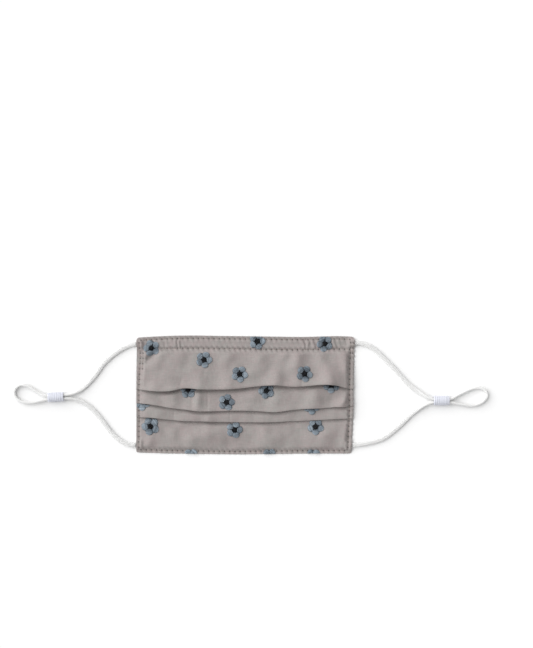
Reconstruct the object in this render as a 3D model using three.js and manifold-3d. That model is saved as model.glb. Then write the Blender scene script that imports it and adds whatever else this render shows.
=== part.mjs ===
// A pleated cotton face mask, lying flat with its face side up.
// Three pleats fold towards the chin, five-petalled flowers are embroidered on the face,
// and two flat elastic ear loops leave the corners, each held by a ribbed silicone cord lock.
// Millimetres. +X runs along the pleats, +Y towards the nose edge, +Z up from the table.
// The origin is on the table, under the middle of the panel.

import * as THREE from 'three';
import { mergeVertices } from 'three/addons/utils/BufferGeometryUtils.js';
import Module from 'manifold-3d';

// Driving dimensions of the cloth panel
const panelWidth = 180;
const panelHeight = 98;
const clothWall = 1.1;           // outer cotton, filter and lining together
const layerGap = 0.3;            // air between the layers of a pleat, in the middle
const stitchedGap = 0.16;        // the same air where the sides are stitched down
const nosePleatDepth = 10;
const middlePleatDepth = 10;
const chinPleatDepth = 8.5;
const cornerRadius = 2.6;
const hemWidth = 2.4;            // edge to the first row of stitches
const stiffSide = 19.2;          // reach of the sewn sides, where the cloth stays flat
const sideThinning = 0.6;        // wall at the very side edge, as a share of clothWall
const casingWidth = 8.2;         // channel of the nose wire, between its two rows
const casingSwell = 0.8;
const topLift = 1.3;             // air under the soft middle of the nose strip
const stripLift = 0.5;           // the same under the two short strips
const dentDepth = 1.4;           // height of the soft ridges and dents of the nose strip

// Driving dimensions of the ear loops and their locks
const cordWidth = 3.8;
const cordThickness = 2.5;
const anchorSwell = 1.7;         // how much the sewn-in cord end thickens a corner
const anchorLength = 7;
const lockLength = 13;
const lockWidth = 7.8;
const lockHeight = 6.4;
const lockBore = 6.2;
const lockRibs = 7;
const ribDepth = 0.3;
const lockCollar = 2.2;

// Driving dimensions of the embroidery
const flowerWidth = 13.2;
const flowerEye = 4.0;
const threadHeight = 0.7;
const notchReach = 0.62;         // reach between two petals, as a share of the flower's radius
const petalRoundness = 0.4;      // smaller makes the petals' tips broader

const clearance = 0.3;           // between a flower's pieces, and between them and the cloth
const airUnder = 0.03;           // between the cord and the table

// Sections of the panel, from the left side to the right. Across is a share of panelWidth,
// and the edges and fold lines are shares of panelHeight, measured from the middle.
const sections = [
  { across: -0.500, top: 0.482, nose: 0.048, middle: -0.068, chin: -0.187, bottom: -0.484 },
  { across: -0.423, top: 0.491, nose: 0.034, middle: -0.082, chin: -0.193, bottom: -0.488 },
  { across: -0.350, top: 0.497, nose: 0.033, middle: -0.106, chin: -0.208, bottom: -0.492 },
  { across: -0.277, top: 0.500, nose: 0.057, middle: -0.122, chin: -0.219, bottom: -0.494 },
  { across: -0.208, top: 0.500, nose: 0.049, middle: -0.136, chin: -0.221, bottom: -0.496 },
  { across: -0.121, top: 0.497, nose: 0.046, middle: -0.135, chin: -0.226, bottom: -0.498 },
  { across: -0.025, top: 0.495, nose: 0.055, middle: -0.131, chin: -0.229, bottom: -0.500 },
  { across: 0.053, top: 0.493, nose: 0.072, middle: -0.135, chin: -0.230, bottom: -0.498 },
  { across: 0.140, top: 0.491, nose: 0.082, middle: -0.143, chin: -0.228, bottom: -0.497 },
  { across: 0.213, top: 0.489, nose: 0.070, middle: -0.128, chin: -0.221, bottom: -0.495 },
  { across: 0.277, top: 0.489, nose: 0.074, middle: -0.117, chin: -0.217, bottom: -0.494 },
  { across: 0.360, top: 0.493, nose: 0.088, middle: -0.111, chin: -0.210, bottom: -0.493 },
  { across: 0.419, top: 0.495, nose: 0.081, middle: -0.102, chin: -0.204, bottom: -0.493 },
  { across: 0.474, top: 0.492, nose: 0.055, middle: -0.097, chin: -0.200, bottom: -0.493 },
  { across: 0.500, top: 0.488, nose: 0.049, middle: -0.095, chin: -0.198, bottom: -0.492 },
];

// How far the two sides step in from the full width, as shares of panelWidth.
// Down is the share of panelHeight below the top edge.
const sides = [
  { down: 0.00, left: 0.000, right: 0.000 },
  { down: 0.08, left: 0.002, right: 0.000 },
  { down: 0.16, left: 0.007, right: 0.002 },
  { down: 0.30, left: 0.004, right: 0.005 },
  { down: 0.45, left: 0.001, right: 0.006 },
  { down: 0.65, left: 0.001, right: 0.007 },
  { down: 0.88, left: 0.000, right: 0.012 },
  { down: 1.00, left: 0.001, right: 0.015 },
];

// Soft ridges (lift above 0) and dents (below 0) of the nose strip. The place is a share of the
// panel, long and wide are shares of panelHeight, turn is in degrees and lift a share of dentDepth.
const dents = [
  { across: -0.427, up: 0.310, long: 0.17, wide: 0.045, turn: 45, lift: 1.0 },
  { across: -0.335, up: 0.240, long: 0.14, wide: 0.070, turn: 60, lift: -0.5 },
  { across: 0.120, up: 0.290, long: 0.16, wide: 0.080, turn: 75, lift: 0.5 },
  { across: 0.300, up: 0.300, long: 0.12, wide: 0.060, turn: 100, lift: -0.5 },
  { across: 0.430, up: 0.250, long: 0.18, wide: 0.050, turn: 105, lift: 0.6 },
];

// Where each flower sits, as shares of the panel, the strip of cloth that carries it (0 is the
// nose strip and 3 the chin strip), the turn of its first petal in degrees, its size as a share of
// flowerWidth, and whether its eye shows.
const flowers = [
  { across: -0.430, up: 0.394, strip: 0, turn: 36, size: 1.00, eye: true },
  { across: -0.189, up: 0.297, strip: 0, turn: 66, size: 1.00, eye: true },
  { across: -0.026, up: 0.176, strip: 0, turn: 64, size: 1.00, eye: true },
  { across: 0.054, up: 0.450, strip: 0, turn: 0, size: 1.00, eye: true },
  { across: 0.363, up: 0.431, strip: 0, turn: 44, size: 1.00, eye: true },
  { across: 0.270, up: 0.179, strip: 0, turn: 63, size: 1.00, eye: true },
  { across: -0.262, up: 0.043, strip: 1, turn: 20, size: 1.00, eye: true },
  { across: -0.086, up: -0.060, strip: 1, turn: 3, size: 1.00, eye: true },
  { across: 0.096, up: 0.037, strip: 1, turn: 39, size: 1.00, eye: true },
  { across: 0.393, up: 0.084, strip: 1, turn: 52, size: 1.00, eye: true },
  { across: -0.472, up: -0.062, strip: 2, turn: 55, size: 1.00, eye: false },
  { across: 0.303, up: -0.096, strip: 2, turn: 57, size: 1.00, eye: false },
  { across: -0.434, up: -0.262, strip: 3, turn: 43, size: 1.10, eye: true },
  { across: -0.050, up: -0.292, strip: 3, turn: 0, size: 1.00, eye: true },
  { across: 0.321, up: -0.267, strip: 3, turn: 54, size: 1.00, eye: true },
  { across: -0.249, up: -0.519, strip: 3, turn: 54, size: 1.00, eye: false },
  { across: 0.110, up: -0.519, strip: 3, turn: 54, size: 1.00, eye: false },
  { across: 0.311, up: -0.522, strip: 3, turn: 54, size: 1.00, eye: false },
];

// Routes of the two ear loops, in millimetres on the table. Twist turns the section from flat (0)
// to standing on its edge (1), and raise lifts it to the middle of the lock (1).
const leftRoute = [
  { x: -90.0, y: 41.8, twist: 0, raise: 0 },
  { x: -94.8, y: 41.2, twist: 0, raise: 0 },
  { x: -102.0, y: 37.9, twist: 0, raise: 0 },
  { x: -109.6, y: 32.7, twist: 0, raise: 0 },
  { x: -117.2, y: 25.6, twist: 0, raise: 0 },
  { x: -121.9, y: 19.0, twist: 0, raise: 0 },
  { x: -127.6, y: 11.9, twist: 0.1, raise: 0 },
  { x: -134.2, y: 5.7, twist: 0.35, raise: 0.1 },
  { x: -140.9, y: 1.9, twist: 0.8, raise: 0.5 },
  { x: -147.6, y: 0.2, twist: 1, raise: 1 },
  { x: -156.0, y: -0.25, twist: 1, raise: 1 },
  { x: -163.8, y: -0.5, twist: 1, raise: 1 },
  { x: -170.9, y: 2.1, twist: 1, raise: 0.4 },
  { x: -176.2, y: 5.6, twist: 1, raise: 0 },
  { x: -181.0, y: 7.9, twist: 1, raise: 0 },
  { x: -186.0, y: 8.0, twist: 1, raise: 0 },
  { x: -189.6, y: 5.3, twist: 1, raise: 0 },
  { x: -190.4, y: 1.2, twist: 1, raise: 0 },
  { x: -188.3, y: -2.9, twist: 1, raise: 0 },
  { x: -183.8, y: -5.4, twist: 1, raise: 0 },
  { x: -177.8, y: -6.2, twist: 1, raise: 0 },
  { x: -171.2, y: -5.2, twist: 1, raise: 0.4 },
  { x: -164.2, y: -3.55, twist: 1, raise: 1 },
  { x: -156.0, y: -3.05, twist: 1, raise: 1 },
  { x: -147.6, y: -2.65, twist: 1, raise: 1 },
  { x: -141.0, y: -3.4, twist: 0.8, raise: 0.5 },
  { x: -134.8, y: -5.7, twist: 0.35, raise: 0.1 },
  { x: -129.0, y: -9.2, twist: 0.1, raise: 0 },
  { x: -123.4, y: -14.7, twist: 0, raise: 0 },
  { x: -117.2, y: -22.2, twist: 0, raise: 0 },
  { x: -111.5, y: -29.8, twist: 0, raise: 0 },
  { x: -105.8, y: -35.5, twist: 0, raise: 0 },
  { x: -100.1, y: -39.2, twist: 0, raise: 0 },
  { x: -95.0, y: -40.8, twist: 0, raise: 0 },
  { x: -90.3, y: -41.2, twist: 0, raise: 0 },
];
const rightRoute = [
  { x: 90.4, y: 43.0, twist: 0, raise: 0 },
  { x: 95.0, y: 42.8, twist: 0, raise: 0 },
  { x: 103.1, y: 39.7, twist: 0, raise: 0 },
  { x: 111.0, y: 33.3, twist: 0, raise: 0 },
  { x: 118.3, y: 26.1, twist: 0, raise: 0 },
  { x: 124.1, y: 20.1, twist: 0, raise: 0 },
  { x: 129.6, y: 13.8, twist: 0, raise: 0 },
  { x: 135.1, y: 8.2, twist: 0.1, raise: 0 },
  { x: 141.5, y: 3.3, twist: 0.35, raise: 0.1 },
  { x: 147.4, y: -0.4, twist: 0.8, raise: 0.6 },
  { x: 153.4, y: -3.05, twist: 1, raise: 1 },
  { x: 161.2, y: -3.15, twist: 1, raise: 1 },
  { x: 168.8, y: -3.05, twist: 1, raise: 1 },
  { x: 174.4, y: -0.2, twist: 1, raise: 0.4 },
  { x: 180.4, y: 2.8, twist: 1, raise: 0 },
  { x: 187.4, y: 5.6, twist: 1, raise: 0 },
  { x: 193.4, y: 5.9, twist: 1, raise: 0 },
  { x: 197.7, y: 3.4, twist: 1, raise: 0 },
  { x: 198.6, y: -0.9, twist: 1, raise: 0 },
  { x: 196.0, y: -4.8, twist: 1, raise: 0 },
  { x: 190.6, y: -7.8, twist: 1, raise: 0 },
  { x: 183.6, y: -8.5, twist: 1, raise: 0 },
  { x: 176.4, y: -7.4, twist: 1, raise: 0.4 },
  { x: 168.8, y: -6.05, twist: 1, raise: 1 },
  { x: 161.2, y: -5.95, twist: 1, raise: 1 },
  { x: 153.4, y: -6.05, twist: 1, raise: 1 },
  { x: 146.8, y: -8.4, twist: 0.8, raise: 0.5 },
  { x: 138.8, y: -13.8, twist: 0.35, raise: 0.1 },
  { x: 132.8, y: -19.4, twist: 0.1, raise: 0 },
  { x: 127.3, y: -24.9, twist: 0, raise: 0 },
  { x: 120.9, y: -30.4, twist: 0, raise: 0 },
  { x: 115.4, y: -34.5, twist: 0, raise: 0 },
  { x: 109.9, y: -37.2, twist: 0, raise: 0 },
  { x: 103.2, y: -39.0, twist: 0, raise: 0 },
  { x: 95.7, y: -40.4, twist: 0, raise: 0 },
  { x: 88.2, y: -41.3, twist: 0, raise: 0 },
];

// Where each lock sits on its two strands, and how far it is turned on the table.
const leftLock = { x: -156.0, y: -1.65, turn: 3 };
const rightLock = { x: 161.2, y: -4.55, turn: 0 };

// Colours and finishes
const cloth = new THREE.MeshStandardMaterial({ color: 0xa39c98, roughness: 0.85, metalness: 0 });
const petalThread = new THREE.MeshStandardMaterial({ color: 0x74808c, roughness: 0.5, metalness: 0 });
const eyeThread = new THREE.MeshStandardMaterial({ color: 0x1c1e24, roughness: 0.55, metalness: 0 });
const elastic = new THREE.MeshStandardMaterial({ color: 0xe9e8e6, roughness: 0.8, metalness: 0 });
const silicone = new THREE.MeshStandardMaterial({ color: 0xdcdde6, roughness: 0.45, metalness: 0 });

// How finely the forms are faceted
const sideCuts = [0, 0.45, 1.2, cornerRadius, 2.6 * cornerRadius];   // from a side edge, in mm
const innerSections = 12;
const stripRows = 6;
const turnFacets = 4;
const cordSides = 8;
const cordSteps = 45;
const lockSides = 14;
const petals = 5;
const petalFacets = 4;
const heartFacets = 8;

const NOSE = 0;
const CHIN = 3;
const pleatDepths = [nosePleatDepth, middlePleatDepth, chinPleatDepth];
const { lerp, clamp, smoothstep, degToRad } = THREE.MathUtils;

const manifold = await Module();
manifold.setup();

// Reads a column of a table at a place between its rows, along a smooth curve.
function readTable(table, key, column, place) {
  const last = table.length - 1;
  const at = clamp(place, table[0][key], table[last][key]);
  const row = Math.max(1, table.findIndex((entry) => entry[key] >= at));
  const before = table[Math.max(row - 2, 0)];
  const start = table[row - 1];
  const end = table[row];
  const after = table[Math.min(row + 1, last)];
  const span = end[key] - start[key];
  const share = (at - start[key]) / span;
  const startSlope = (end[column] - before[column]) / (end[key] - before[key]) * span;
  const endSlope = (after[column] - start[column]) / (after[key] - start[key]) * span;
  const bend = share * share * (3 - 2 * share);
  return lerp(start[column], end[column], bend)
    + startSlope * share * (1 - share) * (1 - share) - endSlope * share * share * (1 - share);
}

// The panel's own two sides at a height: x of the left side and the width between them.
function sideSpan(y) {
  const down = 0.5 - y / panelHeight;
  const left = readTable(sides, 'down', 'left', down) * panelWidth;
  const right = readTable(sides, 'down', 'right', down) * panelWidth;
  return { left: left - panelWidth / 2, width: panelWidth - left - right };
}

// Everything about one section of the panel: edges, fold lines, wall and air at this place.
function sectionAt(share) {
  const place = share - 0.5;
  const read = (column) => readTable(sections, 'across', column, place) * panelHeight;
  const fromSide = Math.min(share, 1 - share) * panelWidth;
  const inCorner = Math.max(cornerRadius - fromSide, 0);
  const cornerDrop = cornerRadius - Math.sqrt(cornerRadius ** 2 - inCorner ** 2);
  const wall = clothWall * lerp(sideThinning, 1, smoothstep(fromSide, 0, clothWall));
  const softness = smoothstep(fromSide, hemWidth, stiffSide);
  const gap = lerp(stitchedGap, layerGap, softness);
  const folds = [read('nose'), read('middle'), read('chin')];
  return {
    share,
    fromSide,
    wall,
    gap,
    top: read('top') - cornerDrop,
    bottom: read('bottom') + cornerDrop,
    casingFoot: read('top') - hemWidth - casingWidth,
    folds,
    hidden: folds.map((fold, pleat) => fold + pleatDepths[pleat]),
    rise: 2 * (wall + gap),
    turnRadius: wall + gap / 2,
    softness,
  };
}

// A hump that is 0 at both ends of a span and 1 in its middle.
function hump(value, from, to) {
  return Math.sin(Math.PI * clamp((value - from) / (to - from), 0, 1));
}

// The soft ridges and dents of the nose strip.
function dentLift(x, y) {
  return dents.reduce((total, dent) => {
    const turn = degToRad(dent.turn);
    const dx = x - dent.across * panelWidth;
    const dy = y - dent.up * panelHeight;
    const along = (dx * Math.cos(turn) + dy * Math.sin(turn)) / (dent.long * panelHeight);
    const beside = (dy * Math.cos(turn) - dx * Math.sin(turn)) / (dent.wide * panelHeight);
    return total + dent.lift * dentDepth * Math.exp(-along * along - beside * beside);
  }, 0);
}

// Height of a strip's wearer side. A strip lies on the pleat under it, then comes down
// behind that pleat to the table.
function lowerFace(section, strip, y) {
  if (strip === CHIN) return 0;
  const pleatEnd = section.hidden[strip];
  if (y <= pleatEnd) return lowerFace(section, strip + 1, y) + section.rise;
  const foot = strip === NOSE ? section.casingFoot : section.hidden[strip - 1];
  const descent = section.rise * (1 - smoothstep(y, pleatEnd, foot));
  const loft = section.softness * hump(y, pleatEnd, foot);
  if (strip !== NOSE) return descent + loft * stripLift;
  const span = sideSpan(y);
  const dent = dentLift(span.left + section.share * span.width, y);
  return Math.max(descent + loft * (topLift + dent), 0);
}

// How much thicker than its wall a strip is: the wire's casing, and the sewn-in cord ends.
function swell(section, strip, y) {
  const casing = strip === NOSE
    ? casingSwell * section.softness * hump(y, section.casingFoot, section.casingFoot + casingWidth)
    : 0;
  const route = section.share < 0.5 ? leftRoute : rightRoute;
  const anchor = strip === NOSE ? route[0] : route[route.length - 1];
  const near = Math.exp(-(((y - anchor.y) / cordWidth) ** 4));
  const inward = 1 - smoothstep(section.fromSide, anchorLength / 2, anchorLength);
  const sewnIn = strip === NOSE || strip === CHIN ? anchorSwell * near * inward : 0;
  return casing + sewnIn;
}

// Height of a strip's face side.
function upperFace(section, strip, y) {
  return lowerFace(section, strip, y) + section.wall + swell(section, strip, y);
}

// Points between the two ends of a half turn round (y, z), towards -y or +y, from its top down.
function halfTurn(y, z, radius, towards, count) {
  return Array.from({ length: count }, (_, i) => {
    const angle = Math.PI * (0.5 - (i + 1) / (count + 1));
    return [y + towards * radius * Math.cos(angle), z + radius * Math.sin(angle)];
  });
}

// Heights along a strip where its section has points, from its upper end down.
function rowsOf(section, strip) {
  const { top, bottom, folds, hidden, turnRadius, wall } = section;
  const from = strip === NOSE ? section.casingFoot : hidden[strip - 1] - turnRadius;
  const to = strip === CHIN ? bottom + hemWidth : folds[strip] + turnRadius;
  const even = Array.from({ length: stripRows }, (_, i) => lerp(from, to, i / (stripRows - 1)));
  const casing = [top, top - wall / 2, top - hemWidth, section.casingFoot + casingWidth / 2];
  if (strip === NOSE) return [...casing, ...even];
  return strip === CHIN ? [...even, bottom + wall / 2, bottom] : even;
}

// The closed outline of one section: down the face side of all strips and back up the wearer side.
function outlineOf(section) {
  const { gap, wall, turnRadius, hidden, folds, top, bottom } = section;
  const face = [];
  const wearer = [];
  for (let strip = NOSE; strip <= CHIN; strip += 1) {
    for (const y of rowsOf(section, strip)) {
      const edge = y === top || y === bottom ? wall / 4 : 0;
      face.push([y, upperFace(section, strip, y) - edge]);
      wearer.push([y, lowerFace(section, strip, y) + edge]);
    }
    if (strip === CHIN) continue;
    const foldY = folds[strip] + turnRadius;
    const hiddenY = hidden[strip] - turnRadius;
    const returnLow = (y) => upperFace(section, strip + 1, y) + gap;
    const middleY = (foldY + hiddenY) / 2;
    face.push(...halfTurn(foldY, returnLow(foldY) + turnRadius, turnRadius, -1, turnFacets));
    face.push(...[foldY, middleY, hiddenY].map((y) => [y, returnLow(y)]));
    face.push(...halfTurn(hiddenY, returnLow(hiddenY) - gap / 2, gap / 2, 1, 1));
    wearer.push(...halfTurn(foldY, returnLow(foldY) + turnRadius, gap / 2, -1, 1));
    wearer.push(...[foldY, middleY, hiddenY].map((y) => [y, returnLow(y) + wall]));
    wearer.push(...halfTurn(hiddenY, returnLow(hiddenY) - gap / 2, turnRadius, 1, turnFacets));
  }
  return [...face, ...wearer.reverse()];
}

// Shares of the width where sections are cut: close together round the side edges and corners.
function sectionShares() {
  const nearSide = sideCuts.map((mm) => mm / panelWidth);
  const inner = nearSide[nearSide.length - 1];
  const between = Array.from({ length: innerSections }, (_, i) =>
    lerp(inner, 1 - inner, (i + 1) / (innerSections + 1)));
  return [...nearSide, ...between, ...nearSide.map((share) => 1 - share).reverse()];
}

// A closed body through equal loops of points, with flat caps on the first and last loop.
function loft(loops, caps) {
  const size = loops[0].length;
  const indices = [];
  for (let loop = 0; loop < loops.length - 1; loop += 1) {
    for (let i = 0; i < size; i += 1) {
      const next = (i + 1) % size;
      const a = loop * size + i;
      const b = loop * size + next;
      indices.push(a, b, a + size, b, b + size, a + size);
    }
  }
  const lastLoop = (loops.length - 1) * size;
  for (const [a, b, c] of caps.first) indices.push(a, c, b);
  for (const [a, b, c] of caps.last) indices.push(lastLoop + a, lastLoop + b, lastLoop + c);
  const geometry = new THREE.BufferGeometry();
  geometry.setAttribute('position', new THREE.Float32BufferAttribute(loops.flat(2), 3));
  geometry.setIndex(indices);
  geometry.computeVertexNormals();
  return geometry;
}

// Triangles of a closed outline of [y, z] points.
function fillOutline(outline) {
  return THREE.ShapeUtils.triangulateShape(outline.map(([y, z]) => new THREE.Vector2(y, z)), []);
}

function pleatedPanel() {
  const outlines = sectionShares().map((share) => ({ share, points: outlineOf(sectionAt(share)) }));
  const loops = outlines.map(({ share, points }) => points.map(([y, z]) => {
    const span = sideSpan(y);
    return [span.left + share * span.width, y, z];
  }));
  const caps = { first: fillOutline(outlines[0].points), last: fillOutline(outlines.at(-1).points) };
  return new THREE.Mesh(loft(loops, caps), cloth);
}

// Height of a strip's face side in one section, straight between the section's own rows.
function facetHeight(section, strip, y) {
  const rows = rowsOf(section, strip);
  const found = rows.findIndex((row) => row < y);
  const below = found < 0 ? rows.length - 1 : Math.max(found, 1);
  const share = clamp((rows[below - 1] - y) / (rows[below - 1] - rows[below]), 0, 1);
  return lerp(
    upperFace(section, strip, rows[below - 1]),
    upperFace(section, strip, rows[below]),
    share,
  );
}

// Height of the cloth's face at a place on one strip, straight between two of its sections.
function clothHeight(strip, x, y) {
  const span = sideSpan(y);
  const rounded = 2 * clothWall / panelWidth;
  const share = clamp((x - span.left) / span.width, rounded, 1 - rounded);
  const shares = sectionShares();
  const after = Math.max(shares.findIndex((cut) => cut >= share), 1);
  return lerp(
    facetHeight(sectionAt(shares[after - 1]), strip, y),
    facetHeight(sectionAt(shares[after]), strip, y),
    (share - shares[after - 1]) / (shares[after] - shares[after - 1]),
  );
}

function toManifold(geometry) {
  const bare = geometry.clone();
  bare.deleteAttribute('normal');
  bare.deleteAttribute('uv');
  const merged = mergeVertices(bare, 1e-4);
  const mesh = new manifold.Mesh({
    numProp: 3,
    vertProperties: new Float32Array(merged.attributes.position.array),
    triVerts: new Uint32Array(merged.index.array),
  });
  return new manifold.Manifold(mesh);
}

function fromManifold(solid) {
  const { vertProperties, triVerts } = solid.getMesh();
  const geometry = new THREE.BufferGeometry();
  geometry.setAttribute('position', new THREE.BufferAttribute(vertProperties, 3));
  geometry.setIndex(new THREE.BufferAttribute(triVerts, 1));
  geometry.computeVertexNormals();
  return geometry;
}

// The part of a strip that shows, as an upright prism that trims the flowers on it.
function stripWindow(strip) {
  const inset = clothWall / 2 / panelWidth;
  const inner = sectionShares().filter((share) => share > 2 * inset && share < 1 - 2 * inset);
  const shares = [inset, ...inner, 1 - inset];
  const lowEdge = (section) => (strip === CHIN ? section.bottom + clothWall / 2 : section.folds[strip]);
  const highEdge = (section) => (strip === NOSE
    ? section.top - clothWall / 2
    : section.folds[strip - 1] - clearance);
  const corner = (share, edge) => {
    const y = edge(sectionAt(share));
    const span = sideSpan(y);
    return new THREE.Vector2(span.left + share * span.width, y);
  };
  const low = shares.map((share) => corner(share, lowEdge));
  const high = shares.map((share) => corner(share, highEdge)).reverse();
  return new THREE.ExtrudeGeometry(new THREE.Shape([...low, ...high]), {
    depth: 12 * clothWall,
    bevelEnabled: false,
  });
}

const windows = [NOSE, 1, 2, CHIN].map((strip) => toManifold(stripWindow(strip)));

// How far a flower reaches from its middle in a direction, as a share of its radius.
function petalReach(angle) {
  return lerp(notchReach, 1, Math.abs(Math.cos(petals * angle / 2)) ** petalRoundness);
}

// A ring of petals round the eye. Each loop runs from the eye's rim over the petal's crown
// to its tip, then back under it.
function flowerPetals(flower) {
  const { across, up, strip, turn, size } = flower;
  const rim = flowerEye / 2 + clearance;
  const around = petalFacets * petals;
  const loops = Array.from({ length: around }, (_, i) => {
    const angle = 2 * Math.PI * i / around;
    const direction = angle + degToRad(turn);
    const tip = petalReach(angle) * size * flowerWidth / 2;
    const crown = lerp(rim, tip, 0.6);
    const rings = [[rim, 0.75], [crown, 1], [tip, 0.45], [tip, 0], [rim, 0]];
    return rings.map(([radius, height]) => {
      const x = across * panelWidth + radius * Math.cos(direction);
      const y = up * panelHeight + radius * Math.sin(direction);
      return [x, y, clothHeight(strip, x, y) + clearance + height * threadHeight];
    });
  });
  return trimmed(loft([...loops, loops[0]], { first: [], last: [] }), strip, petalThread);
}

// The dark eye of a flower: a low dome inside the ring of petals.
function flowerHeart(flower) {
  const { across, up, strip } = flower;
  const ring = (share, height) => Array.from({ length: heartFacets }, (_, i) => {
    const angle = 2 * Math.PI * i / heartFacets;
    const x = across * panelWidth + share * flowerEye / 2 * Math.cos(angle);
    const y = up * panelHeight + share * flowerEye / 2 * Math.sin(angle);
    return [x, y, clothHeight(strip, x, y) + clearance + height * threadHeight];
  });
  const fan = Array.from({ length: heartFacets - 2 }, (_, i) => [0, i + 1, i + 2]);
  const loops = [ring(1, 0), ring(1, 0.7), ring(0.6, 1.1)];
  return trimmed(loft(loops, { first: fan, last: fan }), strip, eyeThread);
}

// Cuts a flower's piece where a fold or an edge of the cloth cuts it off.
function trimmed(geometry, strip, material) {
  return new THREE.Mesh(fromManifold(toManifold(geometry).intersect(windows[strip])), material);
}

// A flat elastic cord's way over the table, which also turns the cord about its own length.
class ElasticRoute extends THREE.CatmullRomCurve3 {
  constructor(rows) {
    const points = rows.map(({ x, y, twist, raise }) => {
      const turn = twist * Math.PI / 2;
      const lying = Math.hypot(cordWidth * Math.sin(turn), cordThickness * Math.cos(turn)) / 2 + airUnder;
      return new THREE.Vector3(x, y, lerp(lying, lockHeight / 2, raise));
    });
    super(points, false, 'centripetal');
    this.twists = rows.map((row) => row.twist);
  }

  twistAt(share) {
    const along = this.getUtoTmapping(share) * (this.twists.length - 1);
    const row = Math.min(Math.floor(along), this.twists.length - 2);
    return lerp(this.twists[row], this.twists[row + 1], along - row);
  }

  computeFrenetFrames(segments) {
    const upright = new THREE.Vector3(0, 0, 1);
    const frames = { tangents: [], normals: [], binormals: [] };
    for (let i = 0; i <= segments; i += 1) {
      const tangent = this.getTangentAt(i / segments);
      const side = upright.clone().cross(tangent).normalize();
      const normal = side.applyAxisAngle(tangent, this.twistAt(i / segments) * Math.PI / 2);
      frames.tangents.push(tangent);
      frames.normals.push(normal);
      frames.binormals.push(tangent.clone().cross(normal));
    }
    return frames;
  }
}

function earLoop(rows) {
  const oval = new THREE.EllipseCurve(0, 0, cordWidth / 2, cordThickness / 2);
  const section = new THREE.Shape(oval.getPoints(cordSides).slice(0, cordSides));
  const geometry = new THREE.ExtrudeGeometry(section, {
    steps: cordSteps,
    extrudePath: new ElasticRoute(rows),
  });
  return new THREE.Mesh(geometry, elastic);
}

// A ribbed sleeve round two strands. Its profile is closed, from the bore out and back,
// and it is turned round the bore and flattened to the lock's height.
function cordLock(place) {
  const outer = lockWidth / 2;
  const bore = lockBore / 2;
  const half = lockLength / 2;
  const rib = (lockLength - lockCollar) / lockRibs;
  const profile = [[bore, -half], [outer - ribDepth, -half], [outer, -half + ribDepth]];
  profile.push([outer, -half + lockCollar - ribDepth]);
  for (let i = 0; i < lockRibs; i += 1) {
    const start = -half + lockCollar + i * rib;
    profile.push([outer - ribDepth, start + 0.1 * rib]);
    profile.push([outer, start + 0.4 * rib], [outer, start + 0.75 * rib]);
  }
  profile.push([outer - ribDepth, half], [bore, half], [bore, -half]);
  const points = profile.map(([radius, along]) => new THREE.Vector2(radius, along));
  const mesh = new THREE.Mesh(new THREE.LatheGeometry(points, lockSides), silicone);
  mesh.rotation.z = Math.PI / 2;
  mesh.scale.z = lockHeight / lockWidth;
  const lock = new THREE.Group();
  lock.add(mesh);
  lock.rotation.z = degToRad(place.turn);
  lock.position.set(place.x, place.y, lockHeight / 2);
  return { lock, mesh };
}

const mask = new THREE.Group();

function add(mesh, name, holder = mesh) {
  mesh.name = name;
  mask.add(holder);
}

add(pleatedPanel(), 'pleated_panel');
add(earLoop(leftRoute), 'ear_loop_left');
add(earLoop(rightRoute), 'ear_loop_right');
for (const [place, name] of [[leftLock, 'cord_lock_left'], [rightLock, 'cord_lock_right']]) {
  const { lock, mesh } = cordLock(place);
  add(mesh, name, lock);
}
flowers.forEach((flower, i) => {
  const number = String(i + 1).padStart(2, '0');
  add(flowerPetals(flower), `flower_petals_${number}`);
  if (flower.eye) add(flowerHeart(flower), `flower_heart_${number}`);
});

export default mask;
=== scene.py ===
# %% [markdown]
# # A pleated cloth face mask
#
# The object is a cotton face mask with three pleats, five-petalled flowers embroidered on its
# face and two white elastic ear loops, each with a small ribbed cord lock. It lies flat on a
# white table and is seen from straight above.
#
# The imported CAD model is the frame. It says where each piece lies, and this script builds finer
# pieces of cloth, thread, elastic and silicone in the same places. All measurements below are in
# millimetres, because that is how a maker thinks of cloth, and times MM they are the metres that
# Blender works in.

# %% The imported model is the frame
import math
from types import SimpleNamespace

import bpy
import numpy as np
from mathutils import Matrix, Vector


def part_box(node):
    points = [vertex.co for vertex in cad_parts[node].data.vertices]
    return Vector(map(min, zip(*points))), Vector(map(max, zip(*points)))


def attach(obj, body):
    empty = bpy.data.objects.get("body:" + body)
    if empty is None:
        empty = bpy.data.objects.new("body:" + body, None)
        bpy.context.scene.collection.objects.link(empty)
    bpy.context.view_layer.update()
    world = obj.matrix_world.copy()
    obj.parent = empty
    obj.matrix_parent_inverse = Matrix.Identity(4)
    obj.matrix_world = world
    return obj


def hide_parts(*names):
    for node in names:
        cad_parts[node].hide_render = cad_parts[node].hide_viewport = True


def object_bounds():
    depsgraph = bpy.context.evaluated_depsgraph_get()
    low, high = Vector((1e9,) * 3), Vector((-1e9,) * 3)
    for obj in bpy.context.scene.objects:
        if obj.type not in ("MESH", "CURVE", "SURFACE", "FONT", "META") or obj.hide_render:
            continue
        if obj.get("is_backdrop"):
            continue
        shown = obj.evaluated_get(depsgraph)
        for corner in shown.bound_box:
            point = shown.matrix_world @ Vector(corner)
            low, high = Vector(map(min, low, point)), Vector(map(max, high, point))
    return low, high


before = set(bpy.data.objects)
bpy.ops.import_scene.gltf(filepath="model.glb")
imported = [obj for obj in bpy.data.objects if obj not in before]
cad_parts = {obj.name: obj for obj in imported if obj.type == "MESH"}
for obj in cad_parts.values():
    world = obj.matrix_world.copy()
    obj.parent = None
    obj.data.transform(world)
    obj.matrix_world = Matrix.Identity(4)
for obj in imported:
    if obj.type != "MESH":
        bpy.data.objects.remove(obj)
cad_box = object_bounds()
MM = 0.001
print("pieces of the frame:", len(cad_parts))

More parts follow.
